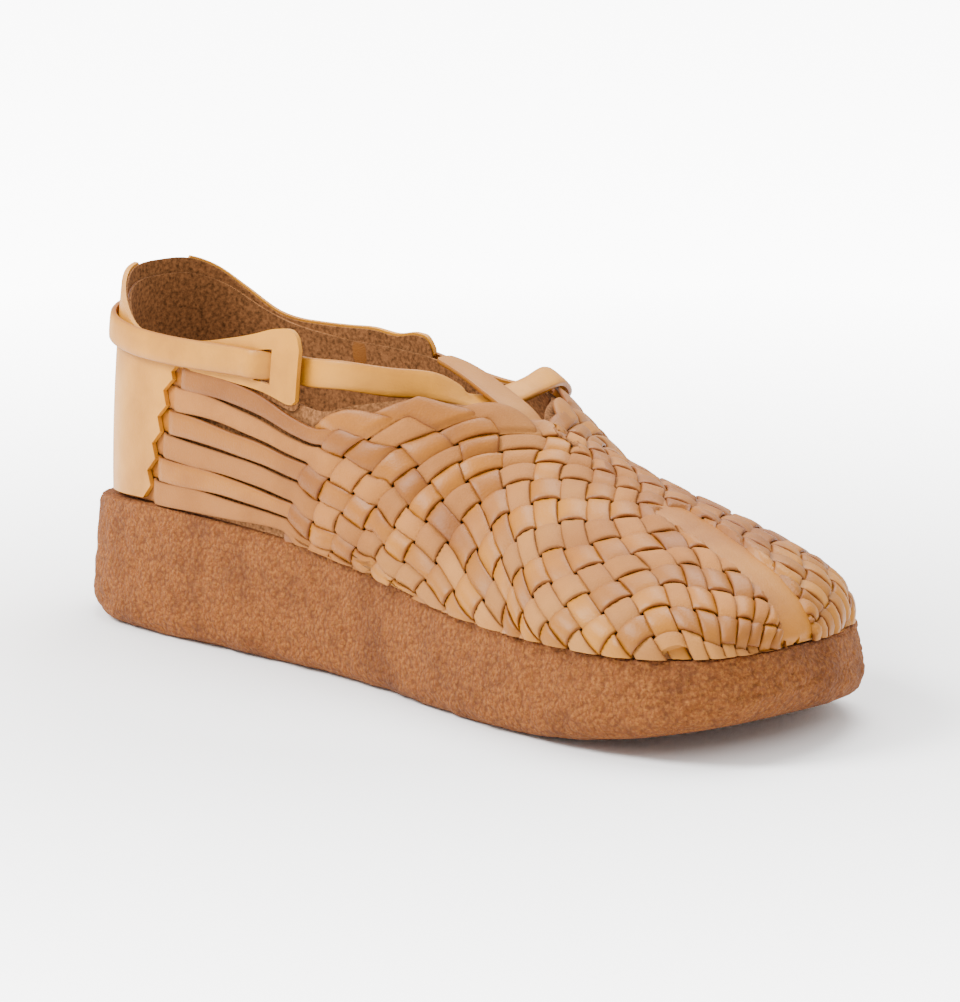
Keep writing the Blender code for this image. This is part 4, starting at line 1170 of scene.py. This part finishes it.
class Weave:
    """Places on the wall by column and row of the diagonal weave."""

    def station(self, column: float, row: float) -> float:
        """Find the station of a weave place.

        Args:
            column: the weave's column, rising to the toe.
            row: rows down from the top, 0 at the ridge or collar edge.

        Returns:
            The station.
        """
        return min(max(through_rows(WEAVE_STATIONS, column, row), 0.0), TOE_STATION)

    def down(self, column: float, row: float) -> float:
        """Find how far down the wall a weave place lies.

        Args:
            column: the weave's column, rising to the toe.
            row: rows down from the top, 0 at the ridge or collar edge.

        Returns:
            The arc length in metres.
        """
        return through_rows(WEAVE_DROPS, column, row)

    def spot(self, column: float, row: float) -> tuple[float, float]:
        """Find station and drop of a weave place.

        Args:
            column: the weave's column, rising to the toe.
            row: rows down from the top, 0 at the ridge or collar edge.

        Returns:
            The station and the arc length down.
        """
        return self.station(column, row), self.down(column, row)

    def reach(self, k: float, side: int) -> float:
        """Find the whole height of the wall at a station, along the wall.

        Args:
            k: station along the side, 0 at the heel and 1 at the toe.
            side: -1 for the inner side, +1 for the outer side.

        Returns:
            The arc length in metres.
        """
        return girth(round(k, 3), side).length

    def point(self, k: float, down: float, side: int, offset: float) -> Vector:
        """Turn station, drop and offset into a point.

        Args:
            k: station along the side, 0 at the heel and 1 at the toe.
            down: arc length down from the top; below 0 it crosses the ridge.
            side: -1 for the inner side, +1 for the outer side.
            offset: distance outward from the wall.

        Returns:
            The point.
        """
        if down < 0.0 and k > RIDGE_OPEN:
            down, side = -down, -side
        at = round(k, 3)
        v = girth(at, side).rise(max(down, 0.0))
        return on_last(k, side, v, offset)


WEAVE_MAP = Weave()


# Half the thickness of a strip in metres, the rows that none is longer than,
# and the sections that each row of it is built with
HALF_THICK = 0.00062
MOST_ROWS = 14.0
SECTIONS_PER_ROW = 6.0

# The toe plug as the strips meet it: station of its rear end, how far from
# the ridge they climb its rim and dive under it, and by how much, in metres
PLUG_REAR = 0.648
PLUG_RIM = 0.0085
PLUG_TUCK = 0.0050
PLUG_CLIMB = 0.0007
PLUG_DIVE = 0.0042

# How far a strip's end sinks at the sole in metres, and over how many rows
END_SINK = 0.0003
END_ROWS = 0.8


def end_sink(rows_left: float) -> float:
    """Find how far a strip sinks towards its end at the sole.

    Args:
        rows_left: rows from here to the strip's end.

    Returns:
        The depth in metres.
    """
    return END_SINK * (1.0 - smooth(rows_left / END_ROWS))


def plug_lift(k: float, down: float) -> float:
    """Find how strips rise over the toe plug's edge and end in it.

    Args:
        k: station along the side, 0 at the heel and 1 at the toe.
        down: arc length down from the ridge in metres.

    Returns:
        The change of offset in metres.
    """
    ahead = smooth((k - PLUG_REAR) / 0.008)
    over = 1.0 - smooth((abs(down) - PLUG_RIM) / 0.003)
    tucked = 1.0 - smooth((abs(down) - PLUG_TUCK) / 0.0014)
    return ahead * (PLUG_CLIMB * over - PLUG_DIVE * tucked)


@dataclass
class Strip:
    """One strip of the weave on one side, from its start to the sole.

    Attributes:
        number: i of a strip that runs down and ahead, j of one that runs
            down and back.
        ahead: True if it runs down and ahead on this side.
        side: the side it is on.
        first_row: row at its upper end.
        over_even: True if it lies on top at even rows.
        width: share of the strip spacing that it fills.
        swing: how far it rises and falls between its neighbours in metres.
        tuck: depth at which a strip starts under the collar's edge in metres.
    """

    number: int
    ahead: bool
    side: int
    first_row: float
    over_even: bool
    width: float = 0.448
    swing: float = 0.00098
    tuck: float = 0.0014

    def lattice(self, row: float, across: float) -> tuple[float, float]:
        """Find column and row of a point of the strip.

        Args:
            row: row of the centre line.
            across: place across, -1 to 1.

        Returns:
            The column and the row.
        """
        shift = self.width * across
        if self.ahead:
            return row - 2 * self.number + shift, row - shift
        return 2 * self.number - row + shift, row + shift

    def last_row(self, across: float) -> float:
        """Find the row at which the strip meets the sole.

        Args:
            across: place across, -1 to 1.

        Returns:
            The centre line's row there.
        """
        low = self.first_row + 0.2
        high = self.first_row + MOST_ROWS
        for _ in range(ROW_HALVINGS):
            middle = 0.5 * (low + high)
            column, row = self.lattice(middle, across)
            k, down = WEAVE_MAP.spot(column, row)
            if down < WEAVE_MAP.reach(k, self.side):
                low = middle
            else:
                high = middle
        return 0.5 * (low + high)

    def lift(self, row: float) -> float:
        """Find the height of the centre line over the wall.

        Args:
            row: row of the centre line.

        Returns:
            The offset in metres.
        """
        wave = math.cos(math.pi * row)
        wave = math.copysign(abs(wave) ** 0.65, wave)
        return self.swing * (wave if self.over_even else -wave)

    def mesh(self) -> bmesh.types.BMesh:
        """Build the strip.

        Returns:
            The mesh.
        """
        ends = {}
        for across, _ in STRIP_PROFILE:
            ends[across] = self.last_row(across)
        steps = max(int((ends[0.0] - self.first_row) * SECTIONS_PER_ROW), 8)
        crossing = self.first_row <= 0.0 and self.lattice(0.0, 0.0)[0] > 5.5

        def place(column: int, share: float) -> Vector:
            across, through = STRIP_PROFILE[column]
            row = self.first_row + (ends[across] - self.first_row) * share
            offset = self.lift(row)
            if not crossing:
                offset -= self.tuck * (1.0 - smooth((row - self.first_row) / 0.7))
            spot, at = self.lattice(row, across)
            if not crossing:
                at = max(at, 0.0)
            k = WEAVE_MAP.station(spot, abs(at))
            down = math.copysign(WEAVE_MAP.down(spot, abs(at)), at)
            offset += through * HALF_THICK + plug_lift(k, down)
            offset -= end_sink(ends[across] - row)
            return WEAVE_MAP.point(k, down, self.side, offset)

        return tube_of(steps, place, tone=tone_of(self.number, self.side))


@dataclass
class CollarTurn:
    """Arc in which a strip turns at the collar edge and runs down again.

    Attributes:
        column: column of its highest point.
        side: the side it is on.
        bend: how wide the turn is, in rows.
        top: row of its centre line at the highest point, less the bend.
        back: how far it runs behind the highest point, in columns.
        front: how far it runs ahead of it, in columns.
        rise: height over the wall at the highest point in metres.
        width: share of the strip spacing that it fills.
    """

    column: float
    side: int
    bend: float = 0.55
    top: float = 0.14
    back: float = 0.95
    front: float = 1.35
    rise: float = 0.0009
    width: float = 0.445

    def mesh(self) -> bmesh.types.BMesh:
        """Build the arc.

        Returns:
            The mesh.
        """

        def place(column: int, share: float) -> Vector:
            across, through = STRIP_PROFILE[column]
            ahead = share * (self.front + self.back) - self.back
            curve = math.hypot(ahead, self.bend)
            slope = ahead / curve
            wide = self.width * math.sqrt(2.0) * across / math.hypot(1.0, slope)
            spot = self.column + ahead + wide * slope
            row = max(curve + self.top - wide, 0.0)
            k, down = WEAVE_MAP.spot(spot, row)
            tail = 1.0 - smooth((ahead + self.back) / 0.7)
            nose = 1.0 - smooth((self.front - ahead) / 0.35)
            offset = self.rise - 0.0020 * tail - 0.0009 * nose
            return WEAVE_MAP.point(k, down, self.side, offset + through * HALF_THICK)

        return tube_of(26, place, tone=tone_of(round(self.column), self.side))


@dataclass
class RearStrip:
    """A long strip from the middle of the heel into the weave, one side.

    Attributes:
        number: 1 for the top strip to 6 for the lowest.
        side: the side it is on.
        fill: share of its band that it fills behind the weave.
        count: number of strips stacked behind the weave.
        steps: sections from the heel to the weave.
        gather: station from which the strips turn towards the weave.
        hidden: station up to which the heel counter covers them.
    """

    number: int
    side: int
    fill: float = 0.985
    count: int = 6
    steps: int = 64
    gather: float = 0.225
    hidden: float = 0.212

    def mesh(self) -> bmesh.types.BMesh:
        """Build the strip.

        Returns:
            The mesh.
        """
        weave = Strip(self.number, True, self.side, 0.0, self.side > 0)
        joint_row = self.number + 0.5
        joint_k, joint_down = WEAVE_MAP.spot(*weave.lattice(joint_row, 0.0))
        ends = {}
        for across, _ in STRIP_PROFILE:
            ends[across] = max(weave.last_row(across), joint_row + 0.3)
        rear_share = (self.number - 0.5) / self.count
        joint_share = joint_down / WEAVE_MAP.reach(joint_k, self.side)
        steps = self.steps + int((ends[0.0] - joint_row) * SECTIONS_PER_ROW) + 2
        split = self.steps / (steps - 1.0)

        def place(column: int, share: float) -> Vector:
            across, through = STRIP_PROFILE[column]
            if share > split:
                row = joint_row + (ends[across] - joint_row) * (share - split) / (1.0 - split)
                k, down = WEAVE_MAP.spot(*weave.lattice(row, across))
                grow = smooth((row - joint_row) / 0.8)
                offset = weave.lift(row) * grow + 0.0002 * (1.0 - grow)
                offset += through * HALF_THICK - end_sink(ends[across] - row)
                return WEAVE_MAP.point(k, down, self.side, offset)
            k = joint_k * share / split
            turn = smooth((k - self.gather) / (joint_k - self.gather))
            reach = WEAVE_MAP.reach(k, self.side)
            # the long strips are not quite parallel and bunch ahead of the heel
            sway = 0.012 * math.sin(31.0 * k + 1.7 * self.number) * smooth((k - 0.19) / 0.05)
            centre = rear_share + (joint_share - rear_share) * turn + sway * (1.0 - turn)
            pinch = 0.10 * math.exp(-((k - 0.272) / 0.028) ** 2)
            pinch *= 1.0 if 1 < self.number < self.count else 0.3
            half = 0.5 * (self.fill - pinch) * reach / self.count
            edge_k, edge_down = WEAVE_MAP.spot(*weave.lattice(joint_row, across))
            down = centre * reach - across * half * (1.0 - turn) + turn * (edge_down - joint_down)
            under = 1.0 - smooth((k - self.hidden + 0.006 * self.number) / 0.012)
            offset = 0.0002 - 0.0021 * under + through * HALF_THICK
            return WEAVE_MAP.point(k + turn * (edge_k - joint_k), down, self.side, offset)

        return tube_of(steps, place, tone=tone_of(self.number, self.side))


@dataclass
class WovenUpper:
    """All strips of the upper and the lining behind them.

    Attributes:
        grain: material of the strips that show the grain face.
        flesh: material of the strips that show the flesh face.
        lining: material of the lining.
        rear_count: long strips on each side of the rear.
        ahead_count: further strips that run down and ahead on each side.
        back_count: strips that run down and back on each side.
        collar_count: strips with numbers nearer to 0 than this start at the
            collar's edge, the others on the ridge.
        lining_thick: thickness of the lining in metres.
        pink_ahead: numbers of the forward-running strips that show flesh.
        pink_back: numbers of the backward-running strips that show flesh.
    """

    grain: bpy.types.Material
    flesh: bpy.types.Material
    lining: bpy.types.Material
    rear_count: int = 6
    ahead_count: int = 14
    back_count: int = 20
    collar_count: int = 3
    lining_thick: float = 0.0006
    pink_ahead: tuple[int, ...] = (6, 4, 2, -2, -4, -6, -8, -10, -12)
    pink_back: tuple[int, ...] = (2, 4, 6, 9, 11, 15, 17, 19)

    def hide_of(self, number: int, ahead: bool) -> Hide:
        """Tell which face a strip shows.

        Args:
            number: the strip's number.
            ahead: True for a strip that runs ahead on the inner side.

        Returns:
            The hide's face.
        """
        pink = self.pink_ahead if ahead else self.pink_back
        return Hide.FLESH if number in pink else Hide.GRAIN

    def strips(self) -> dict[Hide, list[bmesh.types.BMesh]]:
        """Build every strip.

        Returns:
            The strips' meshes by the face they show.
        """
        made = {Hide.GRAIN: [], Hide.FLESH: []}
        for side in (-1, 1):
            inner = side < 0
            for number in range(1, self.rear_count + 1):
                hide = self.hide_of(number if inner else self.rear_count + 1 - number, True)
                made[hide].append(RearStrip(number, side).mesh())
            # the strip that runs ahead on one side runs back on the other, so
            # over and under swap at the ridge
            for number in range(0, -self.ahead_count, -1):
                hide = self.hide_of(number, inner)
                at_collar = number > -self.collar_count
                first = 0.9 if at_collar else 0.0
                made[hide].append(Strip(number, True, side, first, not inner).mesh())
                if at_collar:
                    made[hide].append(CollarTurn(-2.0 * number, side).mesh())
            for number in range(1, self.back_count + 1):
                hide = self.hide_of(number, not inner)
                at_collar = number < self.collar_count
                # the last strips start below the ridge, at the toe's tip
                first = max(2.0 * number - 26.4, 0.9 if at_collar else 0.0)
                made[hide].append(Strip(number, False, side, first, inner).mesh())
        return made

    def lining_mesh(self, side: int) -> bmesh.types.BMesh:
        """Build the lining of one side.

        Args:
            side: -1 for the inner side, +1 for the outer side.

        Returns:
            The mesh.
        """
        rows = 22

        def place(column: int, share: float) -> Vector:
            k = share * 0.985
            top = edge_rise(round(k, 4), side)
            v = top * column / (rows - 1.0)
            # it lies deeper behind the heel counter
            deep = 0.00145 + 0.0009 * (1.0 - smooth((k - 0.190) / 0.014))
            return on_last(k, side, v, -deep)

        outward = Vector((0.0, float(side), 0.2))
        return skin_of(rows, 110, place, self.lining_thick, outward)

    def build(self) -> None:
        """Build all pieces of the upper."""
        made = self.strips()
        finish_piece("woven_strips_grain", made[Hide.GRAIN], self.grain, "upper")
        finish_piece("woven_strips_flesh", made[Hide.FLESH], self.flesh, "upper")
        finish_piece("upper_lining", [self.lining_mesh(-1), self.lining_mesh(1)], self.lining,
                     "upper")


@dataclass
class HeelCounter:
    """Smooth panels around the heel with a standing ear at each side.

    Attributes:
        leather: material of the panels.
        suede: material of the ears' lining.
        end: station where the panel's front edge meets the top.
        low_end: station where that edge meets the sole.
        ear_end: station where the inner and the outer ear end.
        tooth: depth of the pinked front edge in stations.
        notch: half the gap at the back of the heel in stations, at its
            middle, and how much wider it is at its ends.
        corner: how far the ear's corner is rounded in stations.
        corner_drop: how far it is rounded down on the inner and outer side.
        slit: stations between which the strap's slit is cut.
        slit_rows: rows over the lowest ear row between which it is cut.
        least: least height of the ear over the woven wall in metres.
        offset: distance of the panels' outer face from the last in metres.
        thickness: thickness of the panels in metres.
        lining: thickness of the ears' lining in metres.
    """

    leather: bpy.types.Material
    suede: bpy.types.Material
    end: float = 0.206
    low_end: float = 0.176
    ear_end: tuple[float, float] = (0.346, 0.278)
    tooth: float = 0.008
    notch: tuple[float, float] = (0.018, 0.014)
    corner: float = 0.012
    corner_drop: tuple[float, float] = (0.0036, 0.0014)
    slit: tuple[float, float] = (0.3025, 0.3165)
    slit_rows: tuple[float, float] = (2.0, 9.2)
    least: float = 0.0015
    offset: float = 0.00035
    thickness: float = 0.0014
    lining: float = 0.0005

    def mesh(self, side: int, offset: float, thickness: float, inside: bool) -> bmesh.types.BMesh:
        """Build one side's panel.

        Args:
            side: -1 for the inner side, +1 for the outer side.
            offset: distance of its outer face from the wall in metres.
            thickness: thickness in metres.
            inside: True for the lining, which stops short of every edge.

        Returns:
            The mesh.
        """
        low_rows = 20
        rows = 34
        split_column = 26
        columns = 66
        short = 0.0006 if inside else 0.0
        ear_end = self.ear_end[0 if side < 0 else 1] - 2.0 * short

        def station(column: int, row: int) -> float:
            if column <= split_column:
                t = column / split_column
                rear = self.notch[0] + self.notch[1] * abs(1.0 - 2.0 * row / (rows - 1.0))
                if inside:
                    rear = 0.0
                front = self.end
                if row < low_rows:
                    front = self.low_end + (self.end - self.low_end) * row / low_rows
                    front -= self.tooth * 0.5 * abs(row % 4 - 2)
                return rear + (front - rear) * t
            share = (column - split_column) / (columns - 1 - split_column)
            return self.end + (ear_end - self.end) * share

        def place(column: int, share: float) -> Vector:
            row = round(share * (rows - 1))
            k = station(column, row)
            high = COUNTER_TOP[side](k) * COLLAR_HEIGHT - short
            split = last_point(k, side, edge_rise(round(k, 4), side)).z - 0.0010
            split = min(split, high - self.least)
            low = foot_line(k, side).z + 0.0012
            corner = min(max((k - ear_end + self.corner) / self.corner, 0.0), 1.0)
            round_off = 1.0 - math.sqrt(max(1.0 - corner * corner, 0.0))
            high -= self.corner_drop[0 if side < 0 else 1] * round_off
            split = min(split + 0.0020 * round_off, high - self.least)
            if row < low_rows:
                height = low + (split - low) * row / low_rows
            else:
                height = split + (high - split) * (row - low_rows) / (rows - 1.0 - low_rows)
            v = rise_at_height(k, side, height)
            swell = 0.0005 * smooth((k - self.end) / 0.03)
            return on_last(k, side, v, offset + swell)

        def drop(across: float, along: float) -> bool:
            ahead = across * (columns - 1) > split_column
            low = along * (rows - 1) < low_rows - (1 if inside else 0)
            k = station(round(across * (columns - 1)), rows)
            level = along * (rows - 1) - low_rows
            slit = self.slit[0] < k < self.slit[1]
            slit = slit and self.slit_rows[0] < level < self.slit_rows[1]
            return ((ahead or inside) and low) or (side < 0 and slit)

        return skin_of(columns, rows, place, thickness, Vector((0.0, side, 0.1)), drop)

    def build(self) -> None:
        """Build the panels and, inside their ears, the suede lining."""
        panels = [self.mesh(side, self.offset, self.thickness, False) for side in (-1, 1)]
        finish_piece("heel_counter_leather", panels, self.leather,
                     "heel_counter")
        inner = self.offset - self.thickness - 0.0001
        linings = [self.mesh(side, inner, self.lining, True) for side in (-1, 1)]
        finish_piece("ear_lining", linings, self.suede, "heel_counter")


@dataclass
class ToePlug:
    """Smooth band over the flat middle of the toe.

    Attributes:
        leather: its material.
        half_width: half its width in metres.
        start: station of its rear end.
        end: station of its front end.
        offset: distance of its outer face from the last in metres.
        thickness: thickness in metres.
    """

    leather: bpy.types.Material
    half_width: float = 0.0092
    start: float = 0.636
    end: float = 0.997
    offset: float = 0.0004
    thickness: float = 0.0013

    def mesh(self) -> bmesh.types.BMesh:
        """Build the band.

        Returns:
            The mesh.
        """
        columns = 19

        def place(column: int, share: float) -> Vector:
            t = 2.0 * column / (columns - 1.0) - 1.0
            side = -1 if t < 0.0 else 1
            k = self.start + (self.end - self.start) * share
            lead = min(share * 14.0, 1.0)
            half = self.half_width * math.sqrt(0.30 + 0.70 * lead)
            wall = girth(round(k, 3), side)
            down = abs(t) * min(half, wall.length)
            bow = 0.0004 * (1.0 - t * t)
            rest = -0.0004 * smooth((abs(t) - 0.6) / 0.4)
            return on_last(k, side, wall.rise(down), self.offset + bow + rest)

        return skin_of(columns, 70, place, self.thickness, Vector((0.3, 0.0, 1.0)))

    def build(self) -> None:
        """Build the piece."""
        finish_piece("toe_plug_leather", [self.mesh()], self.leather,
                     "toe_plug")


@dataclass
class Strap:
    """Heel strap: a loop around the heel and over the instep.

    Attributes:
        leather: its material.
        width: width in metres.
        thickness: thickness in metres.
        parts: sections made of each row of its tables.
    """

    leather: bpy.types.Material
    width: float = 0.0083
    thickness: float = 0.0019
    parts: int = 5

    def half_line(self, side: int) -> list[tuple[Vector, Vector]]:
        """Find centres and face directions from the heel to the instep.

        Args:
            side: -1 for the inner side, +1 for the outer side.

        Returns:
            The pairs of centre and direction.
        """
        rows = []
        for row in STRAP_ON_WALL:
            k = row[0]
            v = rise_at_height(k, side, STRAP_HEIGHT[side](k) * COLLAR_HEIGHT)
            offset = STRAP_OFFSET[side](k)
            rows.append((on_last(k, side, v, offset), last_normal(k, side, v)))
        rows += [free_row(row, side) for row in STRAP_FREE[side]]
        return rows

    def build(self) -> None:
        """Build the piece."""
        rows = self.half_line(-1)
        rows.append(free_row(STRAP_CROSSING, 1))
        rows += self.half_line(1)[:0:-1]
        centres = smooth_loop([row[0] for row in rows], self.parts)
        faces = smooth_loop([row[1] for row in rows], self.parts)
        count = len(centres)

        def place(column: int, share: float) -> Vector:
            across, through = STRIP_PROFILE[column]
            i = round(share * count) % count
            ahead = (centres[(i + 1) % count] - centres[i - 1]).normalized()
            normal = (faces[i] - ahead * faces[i].dot(ahead)).normalized()
            wide = ahead.cross(normal)
            return (centres[i] + wide * (0.5 * self.width * across)
                    + normal * (0.5 * self.thickness * through))

        bm = tube_of(count + 1, place, True)
        finish_piece("heel_strap_leather", [bm], self.leather, "heel_strap")


@dataclass
class Tab:
    """Instep tab: a tapered strip that stands up behind the throat.

    Attributes:
        leather: its material.
        width: width in metres.
        thickness: thickness in metres.
    """

    leather: bpy.types.Material
    width: float = 0.0095
    thickness: float = 0.0018

    def build(self) -> None:
        """Build the piece."""
        table = [(i / (len(TAB_LINE) - 1.0), *row) for i, row in enumerate(TAB_LINE)]
        length, height, width = (Curve(table, column) for column in (1, 2, 3))

        def centre(share: float) -> Vector:
            x = (length(share) - 0.5) * SHOE_LENGTH
            z = height(share) * INSTEP_HEIGHT + 0.5 * self.thickness
            return Vector((x, STRAP_CROSSING[1] * BALL_WIDTH, z))

        def place(column: int, share: float) -> Vector:
            across, through = STRIP_PROFILE[column]
            ahead = centre(min(share + 0.01, 1.0)) - centre(max(share - 0.01, 0.0))
            normal = Vector((0.0, 1.0, 0.0)).cross(-ahead).normalized()
            half = 0.5 * self.width * width(share)
            return (centre(share) + Vector((0.0, half * across, 0.0))
                    + normal * (0.5 * self.thickness * through))

        bm = tube_of(48, place)
        finish_piece("instep_tab_leather", [bm], self.leather, "instep_tab")


# Steps up the sole's rounded lower edge, up its side and over its upper edge
CORNER_STEPS = 9
SIDE_STEPS = 20
LIP_STEPS = 5


@dataclass
class Sole:
    """Crepe wedge with rounded edges and slightly uneven cut sides.

    Attributes:
        rubber: its material.
        corner: radius of the lower edge in metres.
        taper: how far the side leans in towards the top in metres.
        lip: radius of the upper edge in metres.
        unevenness: height of the cut sides' waves in metres.
        waves: the waves' frequencies per metre with their shares.
        half: steps along each side of the outline.
    """

    rubber: bpy.types.Material
    corner: float = 0.0060
    taper: float = 0.0026
    lip: float = 0.0011
    unevenness: float = 0.0015
    waves: tuple[tuple[float, float], ...] = ((80.0, 1.0), (190.0, 0.8), (420.0, 0.6))
    half: int = 230

    def stations(self) -> list[tuple[float, int]]:
        """List the places around the outline.

        Returns:
            Pairs of station and side, once around.
        """
        inner = [(0.5 - 0.5 * math.cos(math.pi * (0.12 + 0.76 * i / self.half)), -1)
                 for i in range(self.half + 1)]
        low = inner[0][0]
        span = inner[-1][0] - low
        inner = [((k - low) / span, side) for k, side in inner]
        return inner + [(k, 1) for k, _ in inner[-2:0:-1]]

    def build(self) -> None:
        """Build the piece."""
        around = self.stations()
        profile = [(self.corner, 0.0, 0.0)]
        for i in range(1, CORNER_STEPS):
            angle = math.pi * i / (2.0 * (CORNER_STEPS - 1))
            profile.append((self.corner * (1.0 - math.sin(angle)), 0.0,
                            self.corner * (1.0 - math.cos(angle))))
        for i in range(1, SIDE_STEPS):
            profile.append((self.taper * (i / SIDE_STEPS) ** 1.6, i / SIDE_STEPS, 0.0))
        for i in range(LIP_STEPS):
            angle = math.pi * i / (2.0 * (LIP_STEPS - 1))
            profile.append((self.taper + self.lip * (1.0 - math.cos(angle)), 1.0,
                            self.lip * math.sin(angle)))
        count = len(profile)

        def place(column: int, turn: float) -> Vector:
            k, side = around[round(turn * len(around)) % len(around)]
            inset, up, rise = profile[column]
            plan = outline(k, side)
            normal = outline_normal(k, side)
            spot = Vector((plan.x, plan.y, 0.0016 * column))
            wave = sum(share * noise.noise(spot * rate) for rate, share in self.waves)
            plan = plan - normal * (inset + self.unevenness * (0.45 - 0.5 * wave))
            low = sole_bottom(plan.x) + self.corner
            high = sole_top(plan.x) - self.lip
            if column < CORNER_STEPS:
                z = sole_bottom(plan.x) + rise
            elif up < 1.0:
                z = low + (high - low) * up
            else:
                z = high + rise
            return Vector((plan.x, plan.y, z))

        bm = grid_of(count, len(around) + 1, place)
        bmesh.ops.remove_doubles(bm, verts=bm.verts[:], dist=WELD)
        self.close(bm)
        bmesh.ops.recalc_face_normals(bm, faces=bm.faces[:])
        finish_piece("crepe_sole", [bm], self.rubber, "sole")

    def close(self, bm: bmesh.types.BMesh) -> None:
        """Close the bottom and the top, ruled from side to side.

        Args:
            bm: the mesh with two open rims.
        """
        rim = [edge for edge in bm.edges if edge.is_boundary]
        low = [edge for edge in rim if edge.verts[0].co.z < sole_top(edge.verts[0].co.x) - 0.01]
        high = [edge for edge in rim if edge not in low]
        for edges in (low, high):
            made = bmesh.ops.triangle_fill(bm, edges=edges, use_beauty=True)
            faces = [item for item in made["geom"] if isinstance(item, bmesh.types.BMFace)]
            bmesh.ops.join_triangles(bm, faces=faces, angle_face_threshold=0.3,
                                     angle_shape_threshold=0.8)


@dataclass
class Insole:
    """Suede footbed inside the upper.

    Attributes:
        suede: its material.
        thickness: thickness in metres.
        inset: distance inside the foot line in metres.
        end: station of its front end.
    """

    suede: bpy.types.Material
    thickness: float = 0.0030
    inset: float = 0.0034
    end: float = 0.90

    def build(self) -> None:
        """Build the piece."""
        columns = 21

        def place(column: int, share: float) -> Vector:
            k = share * self.end
            left = foot_line(k, -1) - outline_normal(k, -1) * self.inset
            right = foot_line(k, 1) - outline_normal(k, 1) * self.inset
            t = column / (columns - 1.0)
            spot = left.lerp(right, t)
            rim = 0.0006 * (2.0 * t - 1.0) ** 6
            return Vector((spot.x, spot.y, sole_top(spot.x) + FIT_GAP + self.thickness - rim))

        bm = skin_of(columns, 90, place, self.thickness, Vector((0.0, 0.0, 1.0)))
        bmesh.ops.dissolve_degenerate(bm, dist=1.0e-7, edges=bm.edges[:])
        finish_piece("suede_footbed", [bm], self.suede, "insole")


# What the lights look at, and each light's name, place, width and watts
SHOE_MIDDLE = Vector((0.0, 0.0, 0.04))
LIGHTS = [
    ("key", (-0.55, -1.0, 1.15), 0.8, 48.0),
    ("fill", (1.4, 0.2, 0.9), 1.4, 5.0),
    ("top", (-0.3, 0.5, 1.6), 1.4, 42.0),
]


@dataclass
class Studio:
    """Pale floor, soft light and the camera.

    Attributes:
        finish: the floor's material.
        azimuth: camera's turn around the shoe in degrees.
        elevation: camera's height over the horizon in degrees.
        distance: distance to the frame's centre in metres.
        across: shift of the view across in metres.
        up: shift of the view up in metres.
        focal: focal length in millimetres on a 36 mm frame.
        turn: how far the camera looks to the right of the fitted axis, as a slope.
        tip: how far it looks over that axis, as a slope.
        sky: strength of the world's light on the shoe.
        backdrop: its strength as the camera sees it.
    """

    finish: bpy.types.Material
    azimuth: float = 50.2
    elevation: float = 9.9
    distance: float = 1.5
    across: float = -0.0857
    up: float = 0.0666
    focal: float = 198.3
    turn: float = 0.0602
    tip: float = -0.0138
    sky: float = 1.3
    backdrop: float = 9.0

    def light(self, name: str, place: Vector, size: float, power: float) -> None:
        """Add one soft area light that looks at the shoe.

        Args:
            name: its name.
            place: its place.
            size: its width in metres.
            power: its power in watts.
        """
        lamp = bpy.data.lights.new(name, "AREA")
        lamp.shape = "DISK"
        lamp.size = size
        lamp.energy = power
        thing = bpy.data.objects.new(name, lamp)
        thing.location = place
        thing.rotation_euler = (SHOE_MIDDLE - place).to_track_quat("-Z", "Y").to_euler()
        bpy.context.scene.collection.objects.link(thing)

    def build(self) -> None:
        """Build floor, lights, world and camera."""
        bm = bmesh.new()
        bmesh.ops.create_grid(bm, x_segments=2, y_segments=2, size=6.0)
        mesh = bpy.data.meshes.new("floor")
        bm.to_mesh(mesh)
        bm.free()
        mesh.materials.append(self.finish)
        floor = bpy.data.objects.new("floor", mesh)
        bpy.context.scene.collection.objects.link(floor)
        for name, place, size, power in LIGHTS:
            self.light(name, Vector(place), size, power)
        world = bpy.data.worlds.new("studio")
        world.use_nodes = True
        ground = world.node_tree.nodes["Background"]
        ground.inputs["Color"].default_value = linear("#F4F3F1")
        sight = add_node(world.node_tree, "ShaderNodeLightPath").outputs["Is Camera Ray"]
        # the paper behind the shoe is lit to clear white
        glow = ramp(world.node_tree, sight, 0.0, 1.0, self.sky, self.backdrop)
        world.node_tree.links.new(glow, ground.inputs["Strength"])
        bpy.context.scene.world = world
        a = math.radians(self.azimuth)
        e = math.radians(self.elevation)
        back = Vector((math.sin(a) * math.cos(e), -math.cos(a) * math.cos(e), math.sin(e)))
        right = Vector((math.cos(a), math.sin(a), 0.0))
        above = back.cross(right)
        lens = bpy.data.cameras.new("camera")
        lens.sensor_fit = "HORIZONTAL"
        lens.sensor_width = 36.0
        lens.lens = self.focal
        lens.clip_end = 50.0
        camera = bpy.data.objects.new("camera", lens)
        camera.location = back * self.distance + right * self.across + above * self.up
        aim = right * self.turn + above * self.tip - back
        camera.rotation_euler = aim.to_track_quat("-Z", "Y").to_euler()
        bpy.context.scene.collection.objects.link(camera)
        bpy.context.scene.camera = camera


def main() -> None:
    logging.basicConfig(level=logging.INFO)
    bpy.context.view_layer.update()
    Sole(Crepe().build()).build()
    suede = SUEDE.build()
    Insole(suede).build()
    grain = GRAIN.build()
    WovenUpper(grain, FLESH.build(), suede).build()
    panel = PANEL.build()
    HeelCounter(panel, suede).build()
    ToePlug(grain).build()
    Strap(panel).build()
    Tab(panel).build()
    Studio(Paper().build()).build()


if __name__ == "__main__":
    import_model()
    main()
